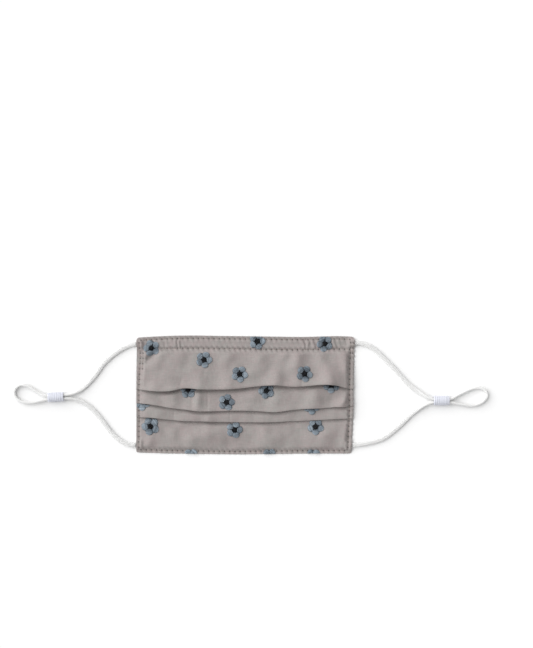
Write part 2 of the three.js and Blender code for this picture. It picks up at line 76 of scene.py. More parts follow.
# %% [markdown]
# ## Camera
#
# The photograph looks straight down, so its width and height are lengths on the table. A long
# lens far away keeps the sides of the mask from leaning outwards. The two ear loops span most of
# the picture, which gives the size of one pixel.

# %% Camera straight above the table
PICTURE_SIZE = (533, 648)          # pixels
LOOPS_SPAN = 474.7                 # pixels from the end of one ear loop to the end of the other
MASK_MIDDLE = (245.45, 394.9)      # pixels, where the frame's origin lies
LENS = 85.0                        # millimetres, on a picture side of 36
SENSOR = 36.0

low, high = (np.array(corner) / MM for corner in cad_box)
mm_per_pixel = (high[0] - low[0]) / LOOPS_SPAN
view_centre = [(PICTURE_SIZE[0] / 2 - MASK_MIDDLE[0]) * mm_per_pixel,
               (MASK_MIDDLE[1] - PICTURE_SIZE[1] / 2) * mm_per_pixel]
camera_height = PICTURE_SIZE[1] * mm_per_pixel * LENS / SENSOR

camera_data = bpy.data.cameras.new("overhead_camera")
camera_data.lens = LENS
camera_data.sensor_fit = "VERTICAL"
camera_data.sensor_height = SENSOR
camera = bpy.data.objects.new("overhead_camera", camera_data)
camera.location = [view_centre[0] * MM, view_centre[1] * MM, camera_height * MM]
bpy.context.scene.collection.objects.link(camera)
bpy.context.scene.camera = camera
print(f"one pixel is {mm_per_pixel:.4f} mm, camera {camera_height:.0f} mm above the table")

# %% [markdown]
# ## Helpers for meshes and materials
#
# Each piece is a mesh made from a list of points and faces. Threads and cords need their own
# coordinates, along them and round them, so these go into the mesh as attributes that a material
# can read. Colours are written as sRGB hex values, the way a colour picker gives them, and
# one function turns them into the linear numbers that a shader works with.

# %% A mesh from points in millimetres
def make_piece(name, points, faces, material, attributes=None):
    """Makes a smooth mesh object. attributes holds arrays of one or three numbers a point."""
    mesh = bpy.data.meshes.new(name)
    mesh.from_pydata((np.asarray(points) * MM).tolist(), [], faces)
    mesh.polygons.foreach_set("use_smooth", [True] * len(mesh.polygons))
    for key, values in (attributes or {}).items():
        values = np.asarray(values, dtype=np.float32)
        kind, slot = ("FLOAT_VECTOR", "vector") if values.ndim == 2 else ("FLOAT", "value")
        layer = mesh.attributes.new(key, kind, "POINT")
        layer.data.foreach_set(slot, values.ravel())
    mesh.materials.append(material)
    mesh.update()
    piece = bpy.data.objects.new(name, mesh)
    bpy.context.scene.collection.objects.link(piece)
    return piece


def seat(piece, slot, *nodes):
    """Rides a piece on the frame's one body, in place of the CAD nodes that it stands for."""
    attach(piece, "root")
    if nodes:
        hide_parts(*nodes)
    return piece


# %% Colours and nodes
def linear(hex_colour):
    """An sRGB hex value as a linear colour."""
    shares = [int(hex_colour[i:i + 2], 16) / 255 for i in (1, 3, 5)]
    return [c / 12.92 if c <= 0.04045 else ((c + 0.055) / 1.055) ** 2.4 for c in shares] + [1]


def add_node(material, kind, settings=None, inputs=None):
    """Adds a node. settings are its own properties, and inputs are its sockets, by name or
    number, each with a plain value or with the output of another node."""
    made = material.node_tree.nodes.new(kind)
    for key, value in (settings or {}).items():
        setattr(made, key, value)
    for key, value in (inputs or {}).items():
        if isinstance(value, bpy.types.NodeSocket):
            material.node_tree.links.new(value, made.inputs[key])
        else:
            made.inputs[key].default_value = value
    return made


def new_material(name, roughness, ior, **plain):
    """A material with its shader's plain values set. Spaces in socket names are underscores."""
    material = bpy.data.materials.new(name)
    material.use_nodes = True
    shader = material.node_tree.nodes["Principled BSDF"]
    shader.inputs["Roughness"].default_value = roughness
    shader.inputs["IOR"].default_value = ior
    for key, value in plain.items():
        shader.inputs[key.replace("_", " ")].default_value = value
    return material, shader


def finish_material(material, shader, colour, bump=None):
    """Gives a material's shader its colour and its bump."""
    material.node_tree.links.new(colour, shader.inputs["Base Color"])
    if bump:
        material.node_tree.links.new(bump.outputs[0], shader.inputs["Normal"])


# %% [markdown]
# ## Ear loops: the material
#
# The loops are soft knitted elastic: a core of rubber threads inside a knitted tube of white
# polyester, pressed a little flat. Under the eye it shows fine ribs along its length, each made
# of small slanted stitches. The real ribs are about a quarter of a millimetre wide. They are
# drawn nearly three times as coarse, so that they show, and only as bump and a slight painted
# shade that greys the grooves between them. Light spreads some millimetres inside white yarn, so its
# shaded side isn't dark.

# %% Where a point lies on a cord or thread
def strand_lay(material, attribute):
    """The angle round a strand and the distance along it, as sockets."""
    lay = add_node(material, "ShaderNodeAttribute", {"attribute_name": attribute})
    split = add_node(material, "ShaderNodeSeparateXYZ", inputs={0: lay.outputs["Vector"]})
    around = add_node(material, "ShaderNodeMath", {"operation": "ARCTAN2"},
                      {0: split.outputs["Y"], 1: split.outputs["X"]})
    return around.outputs[0], split.outputs["Z"]


# %% Knitted polyester elastic
ELASTIC_WIDTH = 3.8
ELASTIC_THICKNESS = 2.5
ELASTIC_RIBS = 14                  # round the cord
ELASTIC_STITCH = 1.1               # millimetres between knitted stitches
STITCH_RISE = 0.4                  # height of a stitch, as a share of a rib's

knitted_elastic, shader = new_material(
    "knitted_polyester_elastic", roughness=0.78, ior=1.5, Specular_IOR_Level=0.3,
    Sheen_Weight=0.3, Sheen_Roughness=0.5, Subsurface_Weight=1.0, Subsurface_Scale=6 * MM,
    Subsurface_Radius=(1.0, 1.0, 1.0))
around, along = strand_lay(knitted_elastic, "cord_lay")
ribs = add_node(knitted_elastic, "ShaderNodeMath", {"operation": "MULTIPLY"},
                {0: around, 1: float(ELASTIC_RIBS)})
rib_wave = add_node(knitted_elastic, "ShaderNodeMath", {"operation": "COSINE"},
                    {0: ribs.outputs[0]})
slant = add_node(knitted_elastic, "ShaderNodeMath", {"operation": "MULTIPLY_ADD"},
                 {0: along, 1: 2 * math.pi / ELASTIC_STITCH, 2: rib_wave.outputs[0]})
stitch_wave = add_node(knitted_elastic, "ShaderNodeMath", {"operation": "SINE"},
                       {0: slant.outputs[0]})
knit = add_node(knitted_elastic, "ShaderNodeMath", {"operation": "MULTIPLY_ADD"},
                {0: stitch_wave.outputs[0], 1: STITCH_RISE, 2: rib_wave.outputs[0]})
# Painted shade: the elastic is painted greyer in the grooves between its ribs and stitches, and whiter
# on their crowns.
groove_shade = add_node(knitted_elastic, "ShaderNodeMapRange",
                  inputs={0: knit.outputs[0], 1: -1 - STITCH_RISE, 2: 1 + STITCH_RISE})
tint = add_node(knitted_elastic, "ShaderNodeMix", {"data_type": "RGBA"},
                {0: groove_shade.outputs[0], 6: linear("#d6d6d5"), 7: linear("#e1e1e0")})
bump = add_node(knitted_elastic, "ShaderNodeBump", inputs={
    "Strength": 0.3, "Distance": 0.05 * MM, "Height": knit.outputs[0]})
finish_material(knitted_elastic, shader, tint.outputs[2], bump)
rib_width = math.pi * (ELASTIC_WIDTH + ELASTIC_THICKNESS) / 2 / ELASTIC_RIBS
print("elastic ribs", round(rib_width, 2), "mm wide")

# %% [markdown]
# ## Ear loops: the route
#
# Each loop is one length of elastic from the mask's upper corner, through its lock, round a
# small loop and back through the lock to the lower corner. The points are the ones that the CAD
# model follows. The elastic leaves the cloth lying flat and stands on its edge in the lock, so
# each point also says how far the cord is twisted, and how far it is lifted to the middle of the
# lock. A centripetal curve through the points gives even bends without overshooting.

# %% Points of the two routes
LOCK_HEIGHT = 6.4
AIR_UNDER = 0.03                   # between the cord and the table

# x, y, twist (0 flat, 1 on its edge), raise (0 on the table, 1 in the middle of the lock)
LEFT_ROUTE = (
    (-90.0, 41.8, 0, 0), (-94.8, 41.2, 0, 0), (-102.0, 37.9, 0, 0), (-109.6, 32.7, 0, 0),
    (-117.2, 25.6, 0, 0), (-121.9, 19.0, 0, 0), (-127.6, 11.9, 0.1, 0), (-134.2, 5.7, 0.35, 0.1),
    (-140.9, 1.9, 0.8, 0.5), (-147.6, 0.2, 1, 1), (-156.0, -0.25, 1, 1), (-163.8, -0.5, 1, 1),
    (-170.9, 2.1, 1, 0.4), (-176.2, 5.6, 1, 0), (-181.0, 7.9, 1, 0), (-186.0, 8.0, 1, 0),
    (-189.6, 5.3, 1, 0), (-190.4, 1.2, 1, 0), (-188.3, -2.9, 1, 0), (-183.8, -5.4, 1, 0),
    (-177.8, -6.2, 1, 0), (-171.2, -5.2, 1, 0.4), (-164.2, -3.55, 1, 1), (-156.0, -3.05, 1, 1),
    (-147.6, -2.65, 1, 1), (-141.0, -3.4, 0.8, 0.5), (-134.8, -5.7, 0.35, 0.1),
    (-129.0, -9.2, 0.1, 0), (-123.4, -14.7, 0, 0), (-117.2, -22.2, 0, 0), (-111.5, -29.8, 0, 0),
    (-105.8, -35.5, 0, 0), (-100.1, -39.2, 0, 0), (-95.0, -40.8, 0, 0), (-90.3, -41.2, 0, 0),
)
RIGHT_ROUTE = (
    (90.4, 43.0, 0, 0), (95.0, 42.8, 0, 0), (103.1, 39.7, 0, 0), (111.0, 33.3, 0, 0),
    (118.3, 26.1, 0, 0), (124.1, 20.1, 0, 0), (129.6, 13.8, 0, 0), (135.1, 8.2, 0.1, 0),
    (141.5, 3.3, 0.35, 0.1), (147.4, -0.4, 0.8, 0.6), (153.4, -3.05, 1, 1), (161.2, -3.15, 1, 1),
    (168.8, -3.05, 1, 1), (174.4, -0.2, 1, 0.4), (180.4, 2.8, 1, 0), (187.4, 5.6, 1, 0),
    (193.4, 5.9, 1, 0), (197.7, 3.4, 1, 0), (198.6, -0.9, 1, 0), (196.0, -4.8, 1, 0),
    (190.6, -7.8, 1, 0), (183.6, -8.5, 1, 0), (176.4, -7.4, 1, 0.4), (168.8, -6.05, 1, 1),
    (161.2, -5.95, 1, 1), (153.4, -6.05, 1, 1), (146.8, -8.4, 0.8, 0.5), (138.8, -13.8, 0.35, 0.1),
    (132.8, -19.4, 0.1, 0), (127.3, -24.9, 0, 0), (120.9, -30.4, 0, 0), (115.4, -34.5, 0, 0),
    (109.9, -37.2, 0, 0), (103.2, -39.0, 0, 0), (95.7, -40.4, 0, 0), (88.2, -41.3, 0, 0),
)


def route_points(rows):
    """The points of a route in space, with the cord resting on the table."""
    x, y, twist, lift = np.array(rows, dtype=float).T
    turn = twist * math.pi / 2
    lying = np.hypot(ELASTIC_WIDTH * np.sin(turn), ELASTIC_THICKNESS * np.cos(turn)) / 2 + AIR_UNDER
    return np.column_stack([x, y, lying + (LOCK_HEIGHT / 2 - lying) * lift]), twist


def centripetal_curve(points, values, steps=40):
    """A smooth line through points, and a value that changes evenly between them."""
    ends = [2 * points[0] - points[1]], [2 * points[-1] - points[-2]]
    padded = np.concatenate([ends[0], points, ends[1]])
    line = []
    carried = []
    for i in range(len(points) - 1):
        a, b, c, d = padded[i:i + 4]
        ab, bc, cd = (max(np.linalg.norm(q - p) ** 0.5, 1e-6) for p, q in ((a, b), (b, c), (c, d)))
        leave = ((b - a) / ab - (c - a) / (ab + bc) + (c - b) / bc) * bc
        arrive = ((c - b) / bc - (d - b) / (bc + cd) + (d - c) / cd) * bc
        t = np.arange(steps)[:, None] / steps
        line.append(b + leave * t + (3 * (c - b) - 2 * leave - arrive) * t ** 2
                    + (leave + arrive - 2 * (c - b)) * t ** 3)
        carried.append(values[i] + (values[i + 1] - values[i]) * t[:, 0])
    return np.concatenate([*line, points[-1:]]), np.append(np.concatenate(carried), values[-1])


def even_steps(line, values, step):
    """The same line with its points a fixed step apart."""
    run = np.append(0, np.cumsum(np.linalg.norm(np.diff(line, axis=0), axis=1)))
    at = np.linspace(0, run[-1], int(run[-1] / step) + 1)
    even = np.column_stack([np.interp(at, run, line[:, k]) for k in range(3)])
    return even, np.interp(at, run, values)


# %% [markdown]
# ## Ear loops: the cord
#
# A cord is a ring of points carried along its route. The same function makes the fine sewing and
# embroidery threads later on, because a thread is only a thinner cord: it takes the width and the
# thickness at each point, so that a thread can end in a point. Flat elastic is squarer than an
# oval where it lies on the table, and rounder where it is turned and squeezed into a lock.

# %% A cord or thread along a line
UP = np.array([0.0, 0.0, 1.0])


def tube_faces(rings, sides):
    """Faces between rings of points that follow each other, and one over each end."""
    faces = [[r * sides + i, r * sides + (i + 1) % sides, (r + 1) * sides + (i + 1) % sides,
              (r + 1) * sides + i] for r in range(rings - 1) for i in range(sides)]
    faces.append(list(range(sides))[::-1])
    faces.append([(rings - 1) * sides + i for i in range(sides)])
    return faces


def strand(line, width, thickness, sides, twist=None, squareness=0.0):
    """Points, faces and lay of a closed oval strand. The lay of a point is the cosine and sine
    of its angle round the strand, and its distance along it."""
    line = np.asarray(line, dtype=float)
    count = len(line)
    tangent = np.gradient(line, axis=0)
    tangent /= np.linalg.norm(tangent, axis=1, keepdims=True)
    side = np.cross(UP, tangent)
    side /= np.linalg.norm(side, axis=1, keepdims=True)
    twist = np.zeros(count) if twist is None else twist
    turn = twist[:, None] * math.pi / 2
    wide = side * np.cos(turn) + np.cross(tangent, side) * np.sin(turn)
    thin = np.cross(tangent, wide)
    angle = 2 * math.pi * np.arange(sides) / sides
    cosine = np.cos(angle)[None, :, None]
    sine = np.sin(angle)[None, :, None]
    half_wide = np.broadcast_to(width, count)[:, None, None] / 2
    half_thin = np.broadcast_to(thickness, count)[:, None, None] / 2
    power = 1 - squareness * (1 - twist)[:, None, None]
    across = half_wide * np.sign(cosine) * np.abs(cosine) ** power
    up = half_thin * np.sign(sine) * np.abs(sine) ** power
    rings = line[:, None] + across * wide[:, None] + up * thin[:, None]
    run = np.append(0, np.cumsum(np.linalg.norm(np.diff(line, axis=0), axis=1)))
    lay = np.stack(np.broadcast_arrays(cosine[..., 0], sine[..., 0], run[:, None]), axis=-1)
    return rings.reshape(-1, 3), tube_faces(count, sides), lay.reshape(-1, 3)


# %% Two ear loops
CORD_SIDES = 28
CORD_STEP = 0.6                    # millimetres from ring to ring
CORD_SQUARENESS = 0.32             # 0 is an oval and 1 a rectangle


def ear_loop(name, rows):
    points, twist = route_points(rows)
    line, twist = even_steps(*centripetal_curve(points, twist), CORD_STEP)
    points, faces, lay = strand(line, ELASTIC_WIDTH, ELASTIC_THICKNESS, CORD_SIDES, twist,
                                CORD_SQUARENESS)
    return make_piece(name, points, faces, knitted_elastic, {"cord_lay": lay}), line


left_loop, left_line = ear_loop("knitted_loop_left", LEFT_ROUTE)
right_loop, right_line = ear_loop("knitted_loop_right", RIGHT_ROUTE)
seat(left_loop, "elastic", "ear_loop_left")
seat(right_loop, "elastic", "ear_loop_right")
print("loop faces:", len(left_loop.data.polygons), len(right_loop.data.polygons))

# %% [markdown]
# ## Cord locks
#
# Each loop's two strands pass through a small sleeve of soft white silicone, which grips them and
# slides to set the loop's size. It is moulded, with a smooth collar at one end and rounded ribs
# along the rest. A profile of half a rib, turned round the bore, gives the whole sleeve. The
# sleeve is a little flattened, as the CAD model has it.

# %% Moulded silicone
MILKY_CLOUD = 4.0                  # millimetres across the faint clouds
MOULD_GRAIN = 0.35                 # millimetres across the grain of the mould

silicone, shader = new_material(
    "moulded_silicone", roughness=0.42, ior=1.41, Subsurface_Weight=0.3, Subsurface_Scale=1 * MM,
    Subsurface_Radius=(1.0, 1.0, 1.0))
place = add_node(silicone, "ShaderNodeTexCoord")
cloud = add_node(silicone, "ShaderNodeTexNoise", inputs={
    "Vector": place.outputs["Object"], "Scale": 1 / (MILKY_CLOUD * MM), "Detail": 3.0})
tint = add_node(silicone, "ShaderNodeMix", {"data_type": "RGBA"},
                {0: cloud.outputs[0], 6: linear("#cfd1dc"), 7: linear("#dadce5")})
grain = add_node(silicone, "ShaderNodeTexNoise", inputs={
    "Vector": place.outputs["Object"], "Scale": 1 / (MOULD_GRAIN * MM), "Detail": 2.0})
bump = add_node(silicone, "ShaderNodeBump", inputs={
    "Strength": 0.15, "Distance": 0.03 * MM, "Height": grain.outputs[0]})
finish_material(silicone, shader, tint.outputs[2], bump)

# %% Ribbed sleeves
LOCK_LENGTH = 13.0
LOCK_WIDTH = 7.8
LOCK_BORE = 6.2
LOCK_RIBS = 7
RIB_DEPTH = 0.3
RIB_POINTS = 12                    # of the profile, to each rib
LOCK_COLLAR = 2.2                  # length of the smooth collar
LOCK_SIDES = 72                    # round the sleeve
LOCK_ROUND = 0.35                  # radius of the sleeve's moulded end edges
ROUND_POINTS = 5                   # of the profile, to each such edge
FLARE_WIDTH, FLARE_LENGTH = 0.15, 0.2    # of the bore at its mouths


def sleeve_profile():
    """Radius and place along the sleeve, from the bore out over the ribs and back."""
    half = LOCK_LENGTH / 2
    outer = LOCK_WIDTH / 2
    bore = LOCK_BORE / 2
    corner = np.linspace(0, math.pi / 2, ROUND_POINTS)
    inset = outer - LOCK_ROUND
    first = [(inset + LOCK_ROUND * math.sin(a), -half + LOCK_ROUND * (1 - math.cos(a)))
             for a in corner]
    shares = np.arange(LOCK_RIBS * RIB_POINTS + 1) / RIB_POINTS
    dips = RIB_DEPTH * (0.5 + 0.5 * np.cos(2 * math.pi * shares)) ** 3
    along = -half + LOCK_COLLAR + shares * (LOCK_LENGTH - LOCK_COLLAR - LOCK_ROUND) / LOCK_RIBS
    ribs = list(zip(outer - dips, along))
    last = [(inset - RIB_DEPTH + LOCK_ROUND * math.cos(a), half - LOCK_ROUND * (1 - math.sin(a)))
            for a in corner[1:]]
    inside = [(bore + FLARE_WIDTH, half), (bore, half - FLARE_LENGTH),
              (bore, FLARE_LENGTH - half), (bore + FLARE_WIDTH, -half)]
    return first + ribs + last + inside


def cord_lock(name, node, turn):
    """A sleeve in the place of a CAD lock, turned on the table by some degrees."""
    low, high = (np.array(corner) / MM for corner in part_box(node))
    middle = (low + high) / 2
    profile = sleeve_profile()
    count = len(profile)
    angle = 2 * math.pi * np.arange(LOCK_SIDES) / LOCK_SIDES
    points = np.array([[-along, radius * math.cos(a), radius * math.sin(a) * LOCK_HEIGHT / LOCK_WIDTH]
                       for a in angle for radius, along in profile])
    cosine, sine = math.cos(math.radians(turn)), math.sin(math.radians(turn))
    turned = points @ np.array([[cosine, sine, 0], [-sine, cosine, 0], [0, 0, 1]]) + middle
    faces = [[s * count + i, ((s + 1) % LOCK_SIDES) * count + i,
              ((s + 1) % LOCK_SIDES) * count + (i + 1) % count, s * count + (i + 1) % count]
             for s in range(LOCK_SIDES) for i in range(count)]
    return seat(make_piece(name, turned, faces, silicone), "silicone", node)


left_lock = cord_lock("ribbed_sleeve_left", "cord_lock_left", turn=3)
right_lock = cord_lock("ribbed_sleeve_right", "cord_lock_right", turn=0)
print("sleeve faces:", len(left_lock.data.polygons))

# %% [markdown]
# ## Cotton cloth: the shape
#
# The panel is one long piece of cotton with a filter and a lining behind it. It is folded three
# times towards the chin and stitched down at both sides. From straight above only four strips
# show, each with a fold at its lower edge. Under each fold the cloth turns back up for about a
# centimetre and then down again, and this hidden part is built too, because the mask is also
# looked at from below and from its sides.
#
# A cloth simulation could find these forms, but it doesn't keep stitched pleats where the
# photograph has them. So the cloth is built from sections, as the CAD model is: two short tables
# give the fold lines and the sides, and functions give the height of each strip. Many more
# sections and finer rows are used here, with soft rumples, open folds and puckered seams added.

# %% Sizes and tables of the panel
PANEL_WIDTH = 180.0
PANEL_HEIGHT = 98.0
CLOTH_WALL = 0.55                  # outer cotton, filter and lining together, pressed
LAYER_GAP = 0.22                   # air between the layers of a pleat, in the middle
STITCHED_GAP = 0.12                # the same where the sides are stitched down
PLEAT_DEPTHS = (10.0, 10.0, 8.5)   # nose, middle and chin pleat
TOP_CORNER, BOTTOM_CORNER = 2.6, 1.3
HEM_WIDTH = 2.4
STIFF_SIDE = 19.2                  # reach of the sewn sides, where the cloth stays flat
CASING_WIDTH = 8.2                 # channel of the nose wire
CASING_SWELL = 0.5
ANCHOR_SWELL = 1.7                 # the sewn-in cord ends
ANCHOR_LENGTH = 7.0
NOSE, CHIN = 0, 3                  # numbers of the first and the last strip

# Across as a share of the width, then the top edge, three fold lines and the bottom edge as
# shares of the height, all from the middle
SECTIONS = np.array([
    (-0.500, 0.482, 0.048, -0.068, -0.187, -0.484), (-0.423, 0.491, 0.034, -0.082, -0.193, -0.488),
    (-0.350, 0.497, 0.033, -0.106, -0.208, -0.492), (-0.277, 0.500, 0.057, -0.122, -0.219, -0.494),
    (-0.208, 0.500, 0.049, -0.136, -0.221, -0.496), (-0.121, 0.497, 0.046, -0.135, -0.226, -0.498),
    (-0.025, 0.495, 0.055, -0.131, -0.229, -0.500), (0.053, 0.493, 0.072, -0.135, -0.230, -0.498),
    (0.140, 0.491, 0.082, -0.143, -0.228, -0.497), (0.213, 0.489, 0.070, -0.128, -0.221, -0.495),
    (0.277, 0.489, 0.074, -0.117, -0.217, -0.494), (0.360, 0.493, 0.088, -0.111, -0.210, -0.493),
    (0.419, 0.495, 0.081, -0.102, -0.204, -0.493), (0.474, 0.492, 0.055, -0.097, -0.200, -0.493),
    (0.500, 0.488, 0.049, -0.095, -0.198, -0.492)])

# Down as a share of the height, then how far the left and right side step in, as shares of the
# width
SIDES = np.array([
    (0.00, 0.000, 0.000), (0.08, 0.002, 0.000), (0.16, 0.007, 0.002), (0.30, 0.004, 0.005),
    (0.45, 0.001, 0.006), (0.65, 0.001, 0.007), (0.88, 0.000, 0.012), (1.00, 0.001, 0.015)])


# %% Curves and steps
def blend(start, end, share):
    return start + (end - start) * share


def smoothstep(value, start, end):
    """0 before the start, 1 after the end, and a soft slope between them."""
    share = np.clip((value - start) / (end - start), 0, 1)
    return share * share * (3 - 2 * share)


def bell(distance, width):
    """1 at a line, fading on both sides of it."""
    return np.exp(-(distance / width) ** 2)


def hump(value, start, end):
    """0 at both ends of a span and 1 in its middle."""
    return np.sin(math.pi * np.clip((value - start) / (end - start), 0, 1))


def read_table(table, column, place):
    """A smooth curve through one column of a table."""
    keys, values = table[:, 0], table[:, column]
    at = np.clip(place, keys[0], keys[-1])
    row = np.clip(np.searchsorted(keys, at), 1, len(keys) - 1)
    before = np.maximum(row - 2, 0)
    after = np.minimum(row + 1, len(keys) - 1)
    span = keys[row] - keys[row - 1]
    share = (at - keys[row - 1]) / span
    leave = (values[row] - values[before]) / (keys[row] - keys[before]) * span
    arrive = (values[after] - values[row - 1]) / (keys[after] - keys[row - 1]) * span
    return (blend(values[row - 1], values[row], share * share * (3 - 2 * share))
            + leave * share * (1 - share) ** 2 - arrive * share ** 2 * (1 - share))


LATTICE = 97                       # bumps before the pattern comes again
LATTICE_START = 300.0              # where the panel's middle lies on the lattice


def cloth_noise(x, y, size, seed):
    """Smooth random bumps from -1 to 1, about size millimetres apart."""
    bumps = np.random.default_rng(seed).uniform(-1, 1, (LATTICE, LATTICE))
    u, v = np.broadcast_arrays(x / size + LATTICE_START, y / size + LATTICE_START)
    i, j = np.floor(u).astype(int), np.floor(v).astype(int)
    fu, fv = smoothstep(u - i, 0, 1), smoothstep(v - j, 0, 1)
    corners = [bumps[(i + a) % LATTICE, (j + b) % LATTICE] for a in (0, 1) for b in (0, 1)]
    return blend(blend(corners[0], corners[1], fv), blend(corners[2], corners[3], fv), fu)


# %% Sections and heights of the cloth
def side_span(y):
    """The left side's x and the width at a height of the panel."""
    down = 0.5 - y / PANEL_HEIGHT
    left = read_table(SIDES, 1, down) * PANEL_WIDTH
    right = read_table(SIDES, 2, down) * PANEL_WIDTH
    return left - PANEL_WIDTH / 2, PANEL_WIDTH - left - right


def across_at(share, y):
    left, width = side_span(y)
    return left + share * width


def share_at(x, y):
    left, width = side_span(y)
    return np.clip((x - left) / width, 0, 1)


def section_at(share):
    """Edges, fold lines and air of the panel's sections, for an array of shares of its width."""
    place = share - 0.5
    top, *folds, bottom = (read_table(SECTIONS, c, place) * PANEL_HEIGHT for c in range(1, 6))
    from_side = np.minimum(share, 1 - share) * PANEL_WIDTH
    drops = [radius - np.sqrt(radius ** 2 - np.maximum(radius - from_side, 0) ** 2)
             for radius in (TOP_CORNER, BOTTOM_CORNER)]
    softness = smoothstep(from_side, HEM_WIDTH, STIFF_SIDE)
    gap = blend(STITCHED_GAP, LAYER_GAP, softness)
    return SimpleNamespace(
        share=share, from_side=from_side, softness=softness, gap=gap, folds=folds,
        top=top - drops[0], bottom=bottom + drops[1],
        casing_foot=top - HEM_WIDTH - CASING_WIDTH,
        hidden=[fold + depth for fold, depth in zip(folds, PLEAT_DEPTHS)],
        rise=2 * (CLOTH_WALL + gap), turn_radius=CLOTH_WALL + gap / 2)


def lower_face(section, strip, y):
    """Height of a strip's wearer side. It lies on the pleat under it, then comes down."""
    if strip == CHIN:
        return np.zeros(np.broadcast(section.share, y).shape)
    pleat_end = section.hidden[strip]
    foot = section.casing_foot if strip == NOSE else section.hidden[strip - 1]
    resting = lower_face(section, strip + 1, y) + section.rise
    descent = section.rise * (1 - np.clip((y - pleat_end) / (foot - pleat_end), 0, 1)) ** 1.5
    return np.where(y <= pleat_end, resting, descent)


def swell(section, strip, y):
    """The nose wire's casing, and the cord ends sewn into the corners."""
    total = np.zeros(np.broadcast(section.share, y).shape)
    if strip == NOSE:
        up = np.clip((y - section.casing_foot) / CASING_WIDTH, 0, 1)
        total = CASING_SWELL * section.softness * np.sin(math.pi * up ** 0.65)
    if strip in (NOSE, CHIN):
        end = 0 if strip == NOSE else -1
        anchor = np.where(section.share < 0.5, LEFT_ROUTE[end][1], RIGHT_ROUTE[end][1])
        inward = 1 - smoothstep(section.from_side, ANCHOR_LENGTH / 2, ANCHOR_LENGTH)
        total = total + ANCHOR_SWELL * inward * np.exp(-((y - anchor) / ELASTIC_WIDTH) ** 4)
    return total


def upper_face(section, strip, y):
    return lower_face(section, strip, y) + CLOTH_WALL + swell(section, strip, y)


# %% [markdown]
# ## Cotton cloth: seams, puckers and creases
#
# Topstitching pulls the layers together. Seen closely, each needle hole is a small pit, the
# cloth swells between two rows, and short puckers run away from the thread between two holes.
# Along the casing the nose wire's ends are tacked, and the cloth gathers there. These small forms
# give the eye the scale of the mask, so they are part of the mesh and not only bump.

# %% Seam lines
STITCH_PITCH = 4.3
SEAM_DEPTH = 0.45                  # deepest pit in the face, as a share of the cloth wall
GROOVE_DEPTH, GROOVE_WIDTH = 0.12, 0.8
PIT_DEPTH, PIT_WIDTH = 0.35, 0.55
PUCKER_LIFT, PUCKER_SLANT = 0.2, 0.7
PUCKER_CHANCE, CHANCE_SIZE = 0.45, 5.0   # how much puckers differ, and over what length
SWELLING_LIFT, SWELLING_WIDTH = 0.22, 1.1
MARGIN_PUCKER = 0.4                # waves of the loose margin outside the right seam

# Direction, where the row starts and ends on that axis, and how hard it pulls the cloth
SEAMS = {
    "nose_edge": ("x", -87.2, 86.6, 1.1),
    "casing_foot": ("x", -72.0, 86.4, 1.3),
    "chin_edge": ("x", -87.4, 83.6, 1.0),
    "left_side": ("y", -45.4, 44.6, 1.3),
    "right_side": ("y", -45.6, 45.0, 1.3),
    "left_tack": ("y", 20.5, 37.0, 1.6),
    "right_tack": ("y", 32.0, 45.5, 1.2),
}
# From the side edge to the side seams, and to the short second rows over the cord ends
SEAM_INSETS = {"left_side": 2.2, "left_tack": 4.4, "right_side": 3.2, "right_tack": 1.4}


def seam_line(name, section, y):
    """Where a seam lies: y of a row along x, or x of a row along y."""
    if name == "nose_edge":
        return section.top - HEM_WIDTH
    if name == "casing_foot":
        return section.casing_foot
    if name == "chin_edge":
        return section.bottom + HEM_WIDTH
    left, width = side_span(y)
    inset = SEAM_INSETS[name]
    return left + inset if name.startswith("left") else left + width - inset


def stitch_holes(name):
    """Places on the seam's own axis where the needle went through."""
    first, last = (place / STITCH_PITCH for place in SEAMS[name][1:3])
    return np.arange(math.ceil(first), math.floor(last) + 1) * STITCH_PITCH


def seam_relief(section, x, y):
    """Grooves, needle pits and puckers of all seams, and how near a point is to a needle pit, which
    sets the painted shade there.
    """
    height = np.zeros(np.broadcast(x, y).shape)
    pit_shade = np.zeros(height.shape)
    for number, (name, (axis, start, end, pull)) in enumerate(SEAMS.items()):
        run, beside = (x, y) if axis == "x" else (y, x)
        away = beside - seam_line(name, section, y)
        inside = smoothstep(run, start - 2, start) * (1 - smoothstep(run, end, end + 2))
        uneven = 1 + PUCKER_CHANCE * cloth_noise(run, 0 * run, CHANCE_SIZE, 40 + number)
        wave = np.cos(2 * math.pi * (run + PUCKER_SLANT * away) / STITCH_PITCH) * uneven
        hole = np.cos(2 * math.pi * run / STITCH_PITCH)
        groove = -GROOVE_DEPTH * bell(away, GROOVE_WIDTH)
        pit = bell(away, PIT_WIDTH) * np.clip(hole, 0, 1) ** 4
        puckers = -PUCKER_LIFT * wave * (bell(np.abs(away) - 1.1, 0.9) + 0.5 * bell(away, 3.0))
        swelling = SWELLING_LIFT * bell(np.abs(away) - 2.0, SWELLING_WIDTH)
        if name == "right_side":
            puckers = puckers + MARGIN_PUCKER * (1 + wave) * smoothstep(away, 0.3, 1.3)
        height = height + pull * inside * (groove - PIT_DEPTH * pit + puckers + swelling)
        # This mask of the needle pits sets the painted shade that darkens the cloth at each hole.
        pit_shade = np.maximum(pit_shade, inside * pit)
    return np.maximum(height, -SEAM_DEPTH * CLOTH_WALL), pit_shade


